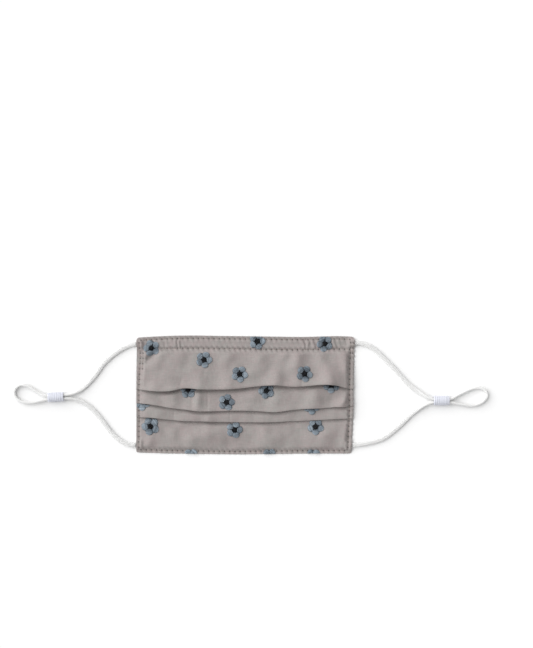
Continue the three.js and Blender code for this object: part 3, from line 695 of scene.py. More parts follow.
# %% Wrinkles, creases, gathers and open folds
# Strip, across and up as shares of the panel, half length and half width in mm, turn in degrees,
# lift in mm. The cloth stands up in a wrinkle, on both sides.
WRINKLES = (
    (0, -0.462, 0.372, 17.0, 8.5, 40, -0.8), (0, -0.385, 0.140, 9.0, 9.0, 90, 2.0),
    (0, -0.424, 0.338, 13.0, 2.4, 46, -2.2), (0, -0.398, 0.294, 13.0, 5.5, 46, 1.4),
    (0, -0.200, 0.105, 8.0, 9.0, 80, 1.8), (0, -0.075, 0.110, 9.0, 8.5, 95, 2.0),
    (0, 0.135, 0.125, 9.0, 5.5, 70, 2.6), (0, 0.381, 0.127, 9.0, 8.5, 74, 3.6),
    (0, 0.448, 0.331, 5.5, 3.6, 120, 1.5), (0, 0.455, 0.229, 6.0, 3.6, 105, 1.3),
    (0, 0.234, 0.280, 12.0, 6.0, 80, 3.2), (0, 0.350, 0.290, 10.0, 6.0, 115, 2.2),
    (0, -0.300, 0.300, 10.0, 8.0, 50, 0.9), (0, -0.215, 0.230, 12.0, 8.0, 70, 1.4),
    (0, 0.185, 0.348, 5.0, 5.0, 100, 1.6), (0, -0.080, 0.300, 9.0, 6.0, 60, 1.0),
    (0, 0.060, 0.270, 12.0, 6.0, 60, 1.4),
    (1, -0.440, -0.018, 5.0, 6.8, 100, 1.2), (1, -0.330, -0.043, 7.0, 8.0, 80, 1.5),
    (1, -0.218, -0.043, 8.0, 3.8, 86, 2.4), (1, 0.021, -0.060, 7.0, 10.0, 90, 1.6),
    (1, 0.150, -0.040, 7.0, 7.0, 75, 1.6), (1, 0.315, -0.018, 8.0, 7.0, 62, 3.6),
    (1, 0.450, -0.043, 7.0, 3.8, 60, 4.0), (2, -0.396, -0.145, 4.0, 8.0, 90, 0.9),
    (2, -0.141, -0.179, 4.0, 16.0, 90, 0.9), (2, 0.058, -0.179, 4.0, 12.0, 90, 0.9),
    (3, -0.442, -0.392, 6.0, 3.6, 75, 1.2), (3, -0.160, -0.330, 22.0, 8.5, 12, 2.1),
    (3, 0.104, -0.400, 12.0, 7.0, 40, 1.8), (3, 0.452, -0.384, 8.0, 3.6, 82, 1.3),
    (3, 0.368, -0.349, 11.0, 7.0, 50, 1.6),
)
# The same for creases, which are only in the face
CREASES = (
    (0, -0.294, 0.105, 5.0, 1.2, 75, -0.30),
    (0, -0.187, 0.200, 7.0, 2.0, 80, -0.30), (0, 0.174, 0.127, 6.0, 2.5, 95, -0.40),
    (0, 0.257, 0.095, 3.0, 0.9, 90, -0.25), (0, 0.415, 0.130, 6.0, 2.2, 115, -0.35),
    (1, -0.243, -0.045, 8.0, 0.9, 88, -0.30), (1, -0.173, -0.040, 8.0, 0.8, 90, -0.32),
    (1, 0.391, -0.055, 6.0, 2.2, 75, -0.40),
    (2, -0.326, -0.155, 5.0, 0.8, 88, -0.24), (2, -0.187, -0.175, 5.0, 0.8, 90, -0.24),
    (2, -0.071, -0.180, 5.0, 0.8, 90, -0.26), (3, -0.081, -0.375, 6.0, 3.0, 80, -0.35),
    (3, -0.486, -0.425, 6.0, 1.6, 70, 0.40), (3, 0.180, -0.360, 9.0, 3.0, 100, -0.30),
)
# Across as a share of the width, width in mm and lift in mm of the cloth gathered in the casing
GATHERS = (
    (-0.318, 1.3, 0.37), (-0.309, 0.7, -0.94), (-0.301, 0.9, 0.71), (-0.289, 1.1, -0.31),
    (0.268, 1.0, 0.34), (0.2755, 0.7, -0.94), (0.287, 1.1, 0.65), (0.299, 0.9, -0.51),
    (0.311, 1.1, 0.58), (0.324, 0.9, -0.44), (0.408, 1.2, 0.48), (0.420, 1.0, -0.44),
    (0.432, 1.2, 0.41), (-0.360, 1.2, 0.31), (-0.371, 1.0, -0.37),
)
# Pleat, across as a share of the width, reach and lift in mm of a fold that stands open
OPEN_FOLDS = (
    (0, -0.286, 13.0, 0.9), (0, 0.363, 14.0, 1.1), (0, -0.430, 9.0, 0.9), (0, 0.170, 10.0, 0.5),
    (1, 0.270, 15.0, 0.4), (2, -0.140, 50.0, 0.4), (2, 0.400, 10.0, 0.5),
)
GATHER_REACH = 1.5                 # past the casing, above and below it
GATHER_BEND, BEND_SIZE = 1.2, 4.0  # how far a gather wanders sideways, and over what length
FOLD_ROLLS = (1.4, 0.5, 0.5)       # the soft roll of each strip above its edge
FOLD_PRESS, PRESS_WIDTH = 0.3, 0.8       # how much thinner the edge itself is
RUMPLE, RUMPLE_SIZE = 1.5, 15.0    # lift and size of the soft unevenness of both sides, large
DIMPLE, DIMPLE_SIZE = 0.55, 7.5    # and small
CRINKLE, CRINKLE_SIZE = 0.24, 6.0  # the same for the face alone
GRAIN, GRAIN_SIZE = 0.04, 1.9
STIFF_RELIEF = 0.35                # share of these small forms that the sewn sides keep
PUFFS = (1.5, 0.6, 0.2, 0.4)       # how far each strip stands off the layers under it
CHIN_LIFT = 0.7                    # the chin strip's soft middle


def ridges(table, strip, x, y):
    """The sum of one strip's long soft bumps."""
    height = np.zeros(np.broadcast(x, y).shape)
    for at_strip, across, up, long, wide, turn, lift in table:
        if at_strip == strip:
            dx, dy = x - across * PANEL_WIDTH, y - up * PANEL_HEIGHT
            cosine, sine = math.cos(math.radians(turn)), math.sin(math.radians(turn))
            along, beside = dx * cosine + dy * sine, dy * cosine - dx * sine
            height = height + lift * np.exp(-(along / long) ** 2 - (beside / wide) ** 2)
    return height


def billow(section, strip, y):
    """How far the soft cloth of a strip stands up: rumples and wrinkles."""
    x = across_at(section.share, y)
    upper = section.casing_foot if strip == NOSE else section.folds[strip - 1]
    free = 1 - smoothstep(y, upper - 4.0, upper)
    height = PUFFS[strip] + RUMPLE * (0.5 + 0.5 * cloth_noise(x, y, RUMPLE_SIZE, 1))
    height = height + DIMPLE * cloth_noise(x, y, DIMPLE_SIZE, 8)
    height = np.maximum(height + ridges(WRINKLES, strip, x, y), 0)
    if strip == CHIN:
        lower = section.bottom + HEM_WIDTH
        free = free * smoothstep(y, lower, lower + 4.0)
        height = height + CHIN_LIFT * hump(y, lower, upper) ** 2
    return height * free * smoothstep(section.from_side, HEM_WIDTH, 3 * HEM_WIDTH)


def open_fold(section, strip, y):
    """How far a folded edge and the cloth just above it stand off the strip under it."""
    if strip == CHIN:
        return 0.0
    x = across_at(section.share, y)
    lift = sum(rise * bell(x - across * PANEL_WIDTH, reach)
               for pleat, across, reach, rise in OPEN_FOLDS if pleat == strip)
    back = np.clip((y - section.folds[strip]) / PLEAT_DEPTHS[strip], 0, 1)
    roll = FOLD_ROLLS[strip] * np.sin(math.pi * back ** 0.3) ** 2
    return (lift * (1 - back) ** 1.5 + roll) * section.softness


def strip_lift(section, strip, y):
    """How far a strip stands up from its place in the flat pleated cloth."""
    return open_fold(section, strip, y) + billow(section, strip, y)


def return_lift(section, strip, y):
    """The same for the layer that turns back under a strip. It stays down at its inner end."""
    back = (y - section.folds[strip]) / PLEAT_DEPTHS[strip]
    return open_fold(section, strip, y) + billow(section, strip, y) * (1 - smoothstep(back, 0.1, 0.9))


def relief(section, strip, x, y):
    """Small forms of a strip's face side, and how near each point is to a needle pit, which sets the
    painted shade there.
    """
    height = CRINKLE * cloth_noise(x, y, CRINKLE_SIZE, 2) + GRAIN * cloth_noise(x, y, GRAIN_SIZE, 3)
    height = height + ridges(CREASES, strip, x, y)
    if strip != CHIN:
        height = height - FOLD_PRESS * bell(y - section.folds[strip], PRESS_WIDTH)
    if strip == NOSE:
        in_casing = hump(y, section.casing_foot - GATHER_REACH,
                         section.casing_foot + CASING_WIDTH + GATHER_REACH)
        bend = GATHER_BEND * cloth_noise(x, y, BEND_SIZE, 7)
        for across, wide, lift in GATHERS:
            height = height + lift * bell(x - across * PANEL_WIDTH + bend, wide) * in_casing
    height = height * blend(STIFF_RELIEF, 1, section.softness)
    seams, pit_shade = seam_relief(section, x, y)
    shows = 1.0 if strip == NOSE else 1 - smoothstep(y, section.folds[strip - 1] - 0.5,
                                                     section.folds[strip - 1] + 1.0)
    return (height + seams) * shows, pit_shade * shows


def edge_rounding(section, strip, y):
    """How far the face drops where it rounds over the top or bottom edge."""
    reach = CLOTH_WALL / 2
    near = np.inf
    if strip == NOSE:
        near = section.top - y
    elif strip == CHIN:
        near = y - section.bottom
    share = np.clip(1 - near / reach, 0, 1)
    return reach * (1 - np.sqrt(1 - share ** 2))


def face_height(strip, x, y):
    """Height of the finished cloth's face side at places on one strip."""
    section = section_at(share_at(x, y))
    return (upper_face(section, strip, y) + relief(section, strip, x, y)[0]
            + strip_lift(section, strip, y) - edge_rounding(section, strip, y))


def strip_seen_at(x, y):
    """The number of the strip that shows at a place, from above."""
    section = section_at(share_at(x, y))
    return sum((y < fold).astype(int) for fold in section.folds)


# %% [markdown]
# ## Cotton cloth: the finish
#
# The face is a fine plain-woven cotton in a warm grey, with a soft brushed surface that scatters
# light, so it has no clear highlight. The dye takes unevenly, which leaves faint warmer and
# cooler clouds. The threads of such a cotton lie about 0.25 mm apart. They are drawn twice as
# coarse, so that a close view shows them, and thicker threads run through here and there. The
# needle pits are painted darker, as painted shade in the holes.

# %% Brushed woven cotton
THREAD_PITCH = 0.5                 # millimetres, twice the real spacing
THREAD_BENDS = 3.0                 # millimetres from one slight bend of a thread to the next
SLUB_LENGTH = 9.0                  # millimetres of a thicker thread
CLOUD_SIZE = 16.0                  # millimetres across the uneven dye
FLECK_SIZE = 2.4                   # millimetres across the brushed flecks

brushed_cotton, shader = new_material(
    "brushed_woven_cotton", roughness=0.86, ior=1.45, Sheen_Weight=0.12, Sheen_Roughness=0.45,
    Specular_IOR_Level=0.3)
place = add_node(brushed_cotton, "ShaderNodeTexCoord")
wander = add_node(brushed_cotton, "ShaderNodeTexNoise", inputs={
    "Vector": place.outputs["Object"], "Scale": 1 / (THREAD_BENDS * MM), "Detail": 2.0})
axes = add_node(brushed_cotton, "ShaderNodeSeparateXYZ", inputs={0: place.outputs["Object"]})
waves = []
for axis in ("X", "Y"):
    straight = add_node(brushed_cotton, "ShaderNodeMath", {"operation": "MULTIPLY"},
                        {0: axes.outputs[axis], 1: math.pi / (THREAD_PITCH * MM)})
    turns = add_node(brushed_cotton, "ShaderNodeMath", {"operation": "MULTIPLY_ADD"},
                     {0: wander.outputs[0], 1: 3.0, 2: straight.outputs[0]})
    waves.append(add_node(brushed_cotton, "ShaderNodeMath", {"operation": "SINE"},
                          {0: turns.outputs[0]}))
weave = add_node(brushed_cotton, "ShaderNodeMath", {"operation": "MULTIPLY"},
                 {0: waves[0].outputs[0], 1: waves[1].outputs[0]})
slubs = []
for long_axis in (0, 1):
    stretch = [1 / (THREAD_PITCH * MM)] * 3
    stretch[long_axis] = 1 / (SLUB_LENGTH * MM)
    laid = add_node(brushed_cotton, "ShaderNodeMapping",
                    inputs={"Vector": place.outputs["Object"], "Scale": stretch})
    slubs.append(add_node(brushed_cotton, "ShaderNodeTexNoise", inputs={
        "Vector": laid.outputs[0], "Scale": 1.0, "Detail": 1.0}))
slub = add_node(brushed_cotton, "ShaderNodeMath", {"operation": "ADD"},
                {0: slubs[0].outputs[0], 1: slubs[1].outputs[0]})
clouds = add_node(brushed_cotton, "ShaderNodeTexNoise", inputs={
    "Vector": place.outputs["Object"], "Scale": 1 / (CLOUD_SIZE * MM), "Detail": 4.0,
    "Roughness": 0.6})
flecks = add_node(brushed_cotton, "ShaderNodeTexNoise", inputs={
    "Vector": place.outputs["Object"], "Scale": 1 / (FLECK_SIZE * MM), "Detail": 3.0})
mottle = add_node(brushed_cotton, "ShaderNodeMath", {"operation": "ADD"},
                  {0: clouds.outputs[0], 1: flecks.outputs[0]})
cloudy = add_node(brushed_cotton, "ShaderNodeMapRange",
                  inputs={0: mottle.outputs[0], 1: 0.7, 2: 1.3})
dye = add_node(brushed_cotton, "ShaderNodeMix", {"data_type": "RGBA"}, {
    0: cloudy.outputs[0], 6: linear("#9c9190"), 7: linear("#979491")})
grain = add_node(brushed_cotton, "ShaderNodeMapRange",
                 inputs={0: slub.outputs[0], 1: 0.7, 2: 1.3, 3: 0.92, 4: 1.08})
threads = add_node(brushed_cotton, "ShaderNodeMapRange",
                   inputs={0: weave.outputs[0], 1: -1.0, 2: 1.0, 3: 0.96, 4: 1.03})
# Painted shade: the cloth is painted much darker at the needle pits, where shade falls into the holes.
depth = add_node(brushed_cotton, "ShaderNodeAttribute", {"attribute_name": "needle_pit_shade"})
pit_shade_factor = add_node(brushed_cotton, "ShaderNodeMapRange",
                  inputs={0: depth.outputs["Fac"], 1: 0.0, 2: 0.6, 3: 1.0, 4: 0.3})
shade = pit_shade_factor.outputs[0]
for factor in (grain, threads):
    shade = add_node(brushed_cotton, "ShaderNodeMath", {"operation": "MULTIPLY"},
                     {0: shade, 1: factor.outputs[0]}).outputs[0]
coloured = add_node(brushed_cotton, "ShaderNodeVectorMath", {"operation": "SCALE"},
                    {0: dye.outputs[2], "Scale": shade})
raised = add_node(brushed_cotton, "ShaderNodeMath", {"operation": "MULTIPLY_ADD"},
                  {0: slub.outputs[0], 1: 1.2, 2: weave.outputs[0]})
bump = add_node(brushed_cotton, "ShaderNodeBump", inputs={
    "Strength": 0.35, "Distance": 0.05 * MM, "Height": raised.outputs[0]})
finish_material(brushed_cotton, shader, coloured.outputs[0], bump)
print("cotton threads drawn", THREAD_PITCH, "mm apart")

# %% [markdown]
# ## Cotton cloth: the mesh
#
# Each section is one closed line: down the face side, round each fold, up the return layer, round
# the hidden fold and down again, and then the same way back along the wearer side. Joining equal
# sections gives a closed piece of cloth. Rows lie close together where the cloth shows and far
# apart inside the pleats. A pressed fold is nearly flat up to its edge, so its half turn is
# squared a little.

# %% Rows of a strip
FACE_ROW = 0.7                     # between the rows of the face that show
WEARER_ROW = 2.2                   # between those of the wearer side
HIDDEN_ROWS = 5
FOLD_POINTS = 7
PRESSED = 0.7                      # below 1, a fold is squarer than a half circle
EDGE_POINTS = 4
SEAM_CREASE = 0.25                 # depth of the seam line between cloth and lining
WORN_SEAMS = 0.8                   # depth of the seams on the wearer side, as a share
FOLD_INSET = 0.4                   # from a fold line to the first row that it hides


def strip_rows(section, strip, spacing):
    """Heights of the panel where one strip has points, from its upper end down."""
    inset = CLOTH_WALL / 2
    end = section.bottom + inset if strip == CHIN else section.folds[strip] + section.turn_radius
    if strip == NOSE:
        start = section.top - inset
        hidden = start[:, :0]
    else:
        start = section.folds[strip - 1] + FOLD_INSET
        inner = section.hidden[strip - 1] - section.turn_radius
        hidden = blend(inner, start, np.arange(HIDDEN_ROWS) / HIDDEN_ROWS)
    count = int(np.mean(start - end) / spacing) + 2
    return np.hstack([hidden, blend(start, end, np.linspace(0, 1, count))])


def half_turn(y, z, radius, towards, count, pressed):
    """Points round half a circle from its top down, bulging towards -y or +y."""
    angle = math.pi * (0.5 - (np.arange(count) + 1) / (count + 1))
    out = np.cos(angle) ** pressed
    up = np.sign(np.sin(angle)) * np.abs(np.sin(angle)) ** pressed
    return y + towards * radius * out, z + radius * up, up


def panel_edge(y, middle, side, towards):
    """Half of the rounded edge at the top or bottom, from the seam crease to one side's face."""
    angle = np.linspace(0, math.pi / 2, EDGE_POINTS + 1)[:-1]
    crease = SEAM_CREASE * bell(angle, 0.3)
    radius = CLOTH_WALL / 2
    return (y + towards * (radius * (np.cos(angle) - 1) - crease),
            middle + side * radius * np.sin(angle))


# %% The line of each section
def unpitted(y, z):
    """Points of the cloth where no needle went through, so with no painted pit shade."""
    return y, z, 0 * y


def strip_and_edge(section, strip, y, z, pit_shade, side):
    """The rows of a strip, with its half of the panel's edge if it is the first or last one."""
    rows = [(y, z, pit_shade)]
    if strip == NOSE:
        middle = z[:, :1] - side * CLOTH_WALL / 2
        rows.insert(0, unpitted(*panel_edge(section.top, middle, side, 1)))
    if strip == CHIN:
        middle = z[:, -1:] - side * CLOTH_WALL / 2
        edge_y, edge_z = panel_edge(section.bottom, middle, side, -1)
        rows.append(unpitted(edge_y[:, ::-1], edge_z[:, ::-1]))
    return rows


def face_line(section):
    """The face side of all sections, as arrays of y, z and the painted shade of the needle pits."""
    parts = []
    for strip in range(NOSE, CHIN + 1):
        y = strip_rows(section, strip, FACE_ROW)
        small, pit_shade = relief(section, strip, across_at(section.share, y), y)
        z = upper_face(section, strip, y) + small + strip_lift(section, strip, y)
        parts += strip_and_edge(section, strip, y, z, pit_shade, side=1)
        if strip == CHIN:
            break
        radius = section.turn_radius
        fold, hidden = section.folds[strip] + radius, section.hidden[strip] - radius
        lift = strip_lift(section, strip, fold)
        low = lower_face(section, strip, fold) - CLOTH_WALL - section.gap + lift
        turn_y, turn_z, up = half_turn(fold, low + radius, radius, -1, FOLD_POINTS, PRESSED)
        parts.append(unpitted(turn_y, turn_z + small[:, -1:] * (0.5 + 0.5 * up)))
        back = blend(fold, hidden, np.linspace(0, 1, HIDDEN_ROWS))
        low = upper_face(section, strip + 1, back) + section.gap + return_lift(section, strip, back)
        parts.append(unpitted(back, low))
        turn = half_turn(hidden, low[:, -1:] - section.gap / 2, section.gap / 2, 1, 2, 1)
        parts.append(unpitted(*turn[:2]))
    return [np.hstack(column) for column in zip(*parts)]


def wearer_line(section):
    """The wearer side of all sections, in the same order."""
    parts = []
    for strip in range(NOSE, CHIN + 1):
        y = strip_rows(section, strip, WEARER_ROW)
        x = across_at(section.share, y)
        seams, pit_shade = seam_relief(section, x, y)
        shows = 1.0 if strip == CHIN else smoothstep(y, section.hidden[strip] - 1.5,
                                                     section.hidden[strip])
        lift = strip_lift(section, strip, y)
        z = lower_face(section, strip, y) + lift - WORN_SEAMS * np.minimum(seams, 0) * shows
        parts += strip_and_edge(section, strip, y, z, pit_shade * shows, side=-1)
        if strip == CHIN:
            break
        radius, gap = section.turn_radius, section.gap
        fold, hidden = section.folds[strip] + radius, section.hidden[strip] - radius
        turn = half_turn(fold, z[:, -1:] - gap / 2, gap / 2, -1, 2, 1)
        parts.append(unpitted(*turn[:2]))
        back = blend(fold, hidden, np.linspace(0, 1, HIDDEN_ROWS))
        low = upper_face(section, strip + 1, back) + gap + return_lift(section, strip, back)
        parts.append(unpitted(back, low + CLOTH_WALL))
        turn = half_turn(hidden, low[:, -1:] - gap / 2, radius, 1, FOLD_POINTS, PRESSED)
        parts.append(unpitted(*turn[:2]))
    return [np.hstack(column) for column in zip(*parts)]


# %% The panel
# Distances of the sections from the side, closest where it rounds over
SIDE_CUTS = np.concatenate([[0, 0.12, 0.3, 0.55], np.arange(0.9, 8.0, 0.45)])
INNER_CUTS = 245
SIDE_THINNING = 0.35               # how much thinner each layer is at the very side
SIDE_ROUND = 0.6                   # millimetres over which it thins


def panel_shares():
    side = SIDE_CUTS / PANEL_WIDTH
    inner = np.linspace(side[-1], 1 - side[-1], INNER_CUTS + 2)[1:-1]
    return np.concatenate([side, inner, (1 - side)[::-1]])


def pleated_panel():
    section = section_at(panel_shares()[:, None])
    face, wearer = face_line(section), wearer_line(section)
    y, z, pit_shade = (np.hstack([a, b[:, ::-1]]) for a, b in zip(face, wearer))
    x = across_at(section.share, y)
    rounding = SIDE_THINNING * CLOTH_WALL / 2 * (1 - smoothstep(section.from_side, 0, SIDE_ROUND))
    z = z + rounding * np.hstack([-np.ones(face[0].shape), np.ones(wearer[0].shape)])
    points = np.stack([x, y, np.maximum(z, 0)], axis=-1)
    return make_piece("pleated_cotton", points.reshape(-1, 3), tube_faces(*x.shape),
                      brushed_cotton, {"needle_pit_shade": pit_shade.ravel()})


panel = seat(pleated_panel(), "cotton", "pleated_panel")

# %% [markdown]
# ## Topstitching
#
# The seams are sewn with spun polyester thread in the colour of the cloth. A stitch is short
# and lies in a small groove, and both its ends dive into the cloth. The upper thread shows on
# the face and the bobbin thread on the wearer side. Where a row crosses a fold, the stitch is
# drawn straight from the upper layer down to the lower one, as a tight thread would be.

# %% Spun polyester thread
THREAD_WIDTH = 0.42
THREAD_TWIST = 1.1                 # millimetres of thread to one turn of its plies

sewing_thread, shader = new_material(
    "spun_polyester_thread", roughness=0.6, ior=1.5, Sheen_Weight=0.1)
around, along = strand_lay(sewing_thread, "thread_lay")
doubled = add_node(sewing_thread, "ShaderNodeMath", {"operation": "MULTIPLY"}, {0: around, 1: 2.0})
turns = add_node(sewing_thread, "ShaderNodeMath", {"operation": "MULTIPLY_ADD"},
                 {0: along, 1: 2 * math.pi / THREAD_TWIST, 2: doubled.outputs[0]})
plies = add_node(sewing_thread, "ShaderNodeMath", {"operation": "SINE"}, {0: turns.outputs[0]})
share = add_node(sewing_thread, "ShaderNodeMapRange", inputs={0: plies.outputs[0], 1: -1.0, 2: 1.0})
# Painted shade: the thread is painted darker in the grooves between its plies and lighter on their
# crowns.
tint = add_node(sewing_thread, "ShaderNodeMix", {"data_type": "RGBA"},
                {0: share.outputs[0], 6: linear("#82766f"), 7: linear("#a3978f")})
bump = add_node(sewing_thread, "ShaderNodeBump", inputs={
    "Strength": 0.4, "Distance": 0.06 * MM, "Height": plies.outputs[0]})
finish_material(sewing_thread, shader, tint.outputs[2], bump)

# %% Stitches of every row
STITCH_SHARE = 0.72                # of the pitch, from hole to hole
STITCH_POINTS = 7
DIVE = 0.3                         # how deep a stitch's ends go into the cloth
FACE_ARCH, BOBBIN_ARCH = 0.12, 0.05      # how far a stitch's middle stands off the cloth
SWAY = 0.16                        # how far a stitch's ends may lie off the row
STITCH_SIDES = 6


class ThreadWork:
    """Collects strands, so that many threads become one mesh."""

    def __init__(self):
        self.points, self.faces, self.lays, self.tones = [], [], [], []
        self.count = 0

    def lay(self, line, width, sides, tone=0.5):
        points, faces, lay = strand(line, width, width, sides)
        self.points.append(points)
        self.faces += [[self.count + i for i in face] for face in faces]
        self.lays.append(lay)
        self.tones.append(np.full(len(points), tone))
        self.count += len(points)

    def make(self, name, material):
        return make_piece(name, np.concatenate(self.points), self.faces, material, {
            "thread_lay": np.concatenate(self.lays), "thread_tone_and_shade": np.concatenate(self.tones)})


def seam_places(name, run):
    """Points of a seam at places along it, in x and y."""
    axis = SEAMS[name][0]
    x, y = (run, 0 * run) if axis == "x" else (0 * run, run)
    for _ in range(3):
        line = seam_line(name, section_at(share_at(x, y)), y)
        x, y = (x, line) if axis == "x" else (line, y)
    return x, y


def seen_height(x, y):
    """Height of the cloth that shows from above."""
    strips = strip_seen_at(x, y)
    heights = np.array([face_height(strip, x, y) for strip in range(NOSE, CHIN + 1)])
    return np.take_along_axis(heights, strips[None], axis=0)[0]


def worn_height(x, y):
    """Height of the cloth that shows from below, with its seam grooves."""
    section = section_at(share_at(x, y))
    strips = sum((y < hidden).astype(int) for hidden in section.hidden)
    heights = np.array([lower_face(section, strip, y) for strip in range(NOSE, CHIN + 1)])
    grooves = WORN_SEAMS * np.minimum(seam_relief(section, x, y)[0], 0)
    return np.take_along_axis(heights, strips[None], axis=0)[0] - grooves


def sew(name, face_side):
    """Adds every stitch of one row to the face side or the wearer side."""
    rng = np.random.default_rng(100 + list(SEAMS).index(name))
    work = face_work if face_side else wearer_work
    for hole in stitch_holes(name)[:-1]:
        start = hole + STITCH_PITCH * (1 - STITCH_SHARE) / 2
        run = start + np.linspace(0, 1, STITCH_POINTS) * STITCH_PITCH * STITCH_SHARE
        x, y = seam_places(name, run)
        arch = np.sin(math.pi * np.linspace(0, 1, STITCH_POINTS)) ** 0.7
        sway = rng.uniform(-SWAY, SWAY) * np.linspace(-1, 1, STITCH_POINTS)
        x, y = (x, y + sway) if SEAMS[name][0] == "x" else (x + sway, y)
        if face_side:
            ground = seen_height(x, y)
            chord = blend(ground[0], ground[-1], np.linspace(0, 1, STITCH_POINTS))
            z = np.maximum(ground, chord) - DIVE + arch * (DIVE + FACE_ARCH)
        else:
            z = worn_height(x, y) + DIVE - arch * (DIVE + BOBBIN_ARCH)
        z = np.maximum(z, THREAD_WIDTH / 2)
        width = THREAD_WIDTH * (0.7 + 0.3 * arch)
        work.lay(np.column_stack([x, y, z]), width, STITCH_SIDES)


face_work, wearer_work = ThreadWork(), ThreadWork()
for name in SEAMS:
    sew(name, face_side=True)
    sew(name, face_side=False)
seat(face_work.make("topstitching", sewing_thread), "cotton")
seat(wearer_work.make("bobbin_stitching", sewing_thread), "cotton")
print("stitches:", sum(len(stitch_holes(name)) - 1 for name in SEAMS), "on each side")

# %% [markdown]
# ## Embroidered flowers
#
# The flowers are machine embroidery in rayon thread. Each petal is satin stitch: threads laid
# side by side over the petal's width, so close that they make a raised, glossy pad. The threads
# lie flat at both ends and are lifted in the middle, which gives each petal its puffy form. The
# dark middle is a few crossing stitches, with some that run out between the petals.
#
# Each thread is a fine strand here, so the pads catch the light as real ones do. A flower that
# was cut by a fold or an edge of the cloth simply ends there.

# %% Rayon embroidery thread
RAYON_WIDTH = 0.38
RAYON_TWIST = 0.8                  # millimetres of thread to one turn


def rayon_thread(name, dark, light, gloss):
    """Embroidery thread, with its colour changing a little from thread to thread, and painted a little
    darker in the grooves between its plies as painted shade.
    """
    material, shader = new_material(name, roughness=0.5, ior=1.5, Anisotropic=0.4,
                                    Specular_IOR_Level=gloss)
    around, along = strand_lay(material, "thread_lay")
    tone = add_node(material, "ShaderNodeAttribute", {"attribute_name": "thread_tone_and_shade"})
    turns = add_node(material, "ShaderNodeMath", {"operation": "MULTIPLY_ADD"},
                     {0: along, 1: 2 * math.pi / RAYON_TWIST, 2: around})
    plies = add_node(material, "ShaderNodeMath", {"operation": "SINE"}, {0: turns.outputs[0]})
    # Painted shade: the grooves between the plies are painted a little darker, and the tone also
    # carries the petals' painted shade near the heart.
    mixed = add_node(material, "ShaderNodeMath", {"operation": "MULTIPLY_ADD", "use_clamp": True},
                     {0: plies.outputs[0], 1: 0.12, 2: tone.outputs["Fac"]})
    tint = add_node(material, "ShaderNodeMix", {"data_type": "RGBA"},
                    {0: mixed.outputs[0], 6: linear(dark), 7: linear(light)})
    bump = add_node(material, "ShaderNodeBump", inputs={
        "Strength": 0.3, "Distance": 0.04 * MM, "Height": plies.outputs[0]})
    finish_material(material, shader, tint.outputs[2], bump)
    return material


petal_rayon = rayon_thread("slate_blue_rayon_thread", "#4a545e", "#95a1ab", gloss=0.5)
heart_rayon = rayon_thread("black_rayon_thread", "#07080b", "#121318", gloss=0.2)

# %% Places of the flowers
FLOWER_WIDTH = 13.2
# Across and up as shares of the panel, the strip, the turn of the first petal in degrees, the
# size, and whether the heart shows
FLOWERS = (
    (-0.430, 0.394, 0, 36, 1.0, True), (-0.189, 0.297, 0, 66, 1.0, True),
    (-0.026, 0.176, 0, 64, 1.0, True), (0.054, 0.450, 0, 0, 1.0, True),
    (0.363, 0.431, 0, 44, 1.0, True), (0.270, 0.179, 0, 63, 1.0, True),
    (-0.262, 0.043, 1, 20, 1.0, True), (-0.086, -0.060, 1, 3, 1.0, True),
    (0.096, 0.037, 1, 39, 1.0, True), (0.393, 0.084, 1, 52, 1.0, True),
    (-0.472, -0.062, 2, 55, 1.0, False), (0.303, -0.096, 2, 57, 1.0, False),
    (-0.434, -0.262, 3, 43, 1.1, True), (-0.050, -0.292, 3, 0, 1.0, True),
    (0.321, -0.267, 3, 54, 1.0, True), (-0.249, -0.519, 3, 54, 1.0, False),
    (0.110, -0.519, 3, 54, 1.0, False), (0.311, -0.522, 3, 54, 1.0, False),
)

# %% Satin stitch
PETALS = 5
PETAL_THREADS = 17
PETAL_START = 1.7                  # from the flower's middle, under the heart
PETAL_MIDDLE = 4.1                 # where the petal is widest
PETAL_TAPER = 3.6                  # from there to where its rounding inwards would end
PETAL_HALF_WIDTH = 2.9
PETAL_HEIGHT = 0.85
THREAD_POINTS = 9
HEART_RADIUS = 2.25
HEART_THREADS = 11
HEART_HEIGHT = 0.95
BARE_GAPS = 0.25                   # share of the gaps between petals that have no dark stitches
SPIKE_REACH = (3.1, 4.2)           # from the flower's middle to the tip of such a stitch
SPIKE_STITCHES = (-0.35, 0.0, 0.35)      # beside each other
FOLD_REACH = 0.2                   # how far a thread may reach past a fold line
EDGE_MARGIN, SIDE_MARGIN = 0.05, 0.25    # from a thread to its strip's edges and sides


def cut_to_cloth(line, strip):
    """The longest part of a thread that lies on its strip and inside the cloth's edges."""
    section = section_at(share_at(line[:, 0], line[:, 1]))
    above = section.top if strip == NOSE else section.folds[strip - 1]
    below = section.bottom if strip == CHIN else section.folds[strip] - FOLD_REACH
    inside = ((line[:, 1] < above - EDGE_MARGIN) & (line[:, 1] > below + EDGE_MARGIN)
              & (section.from_side > SIDE_MARGIN) & (np.abs(line[:, 0]) < PANEL_WIDTH / 2))
    runs = np.split(np.arange(len(line)), np.flatnonzero(np.diff(inside.astype(int))) + 1)
    runs = [run for run in runs if inside[run[0]] and len(run) > 2]
    return line[max(runs, key=len)] if runs else None


def lay_thread(work, middle, turn, strip, along, beside, height, tone):
    """One thread of a flower. along and beside are its points in the petal's own directions."""
    cosine, sine = math.cos(turn), math.sin(turn)
    x = middle[0] + along * cosine - beside * sine
    y = middle[1] + along * sine + beside * cosine
    line = np.column_stack([x, y, face_height(strip, x, y) + height])
    line = cut_to_cloth(line, strip)
    if line is not None:
        work.lay(line, RAYON_WIDTH, STITCH_SIDES, tone)


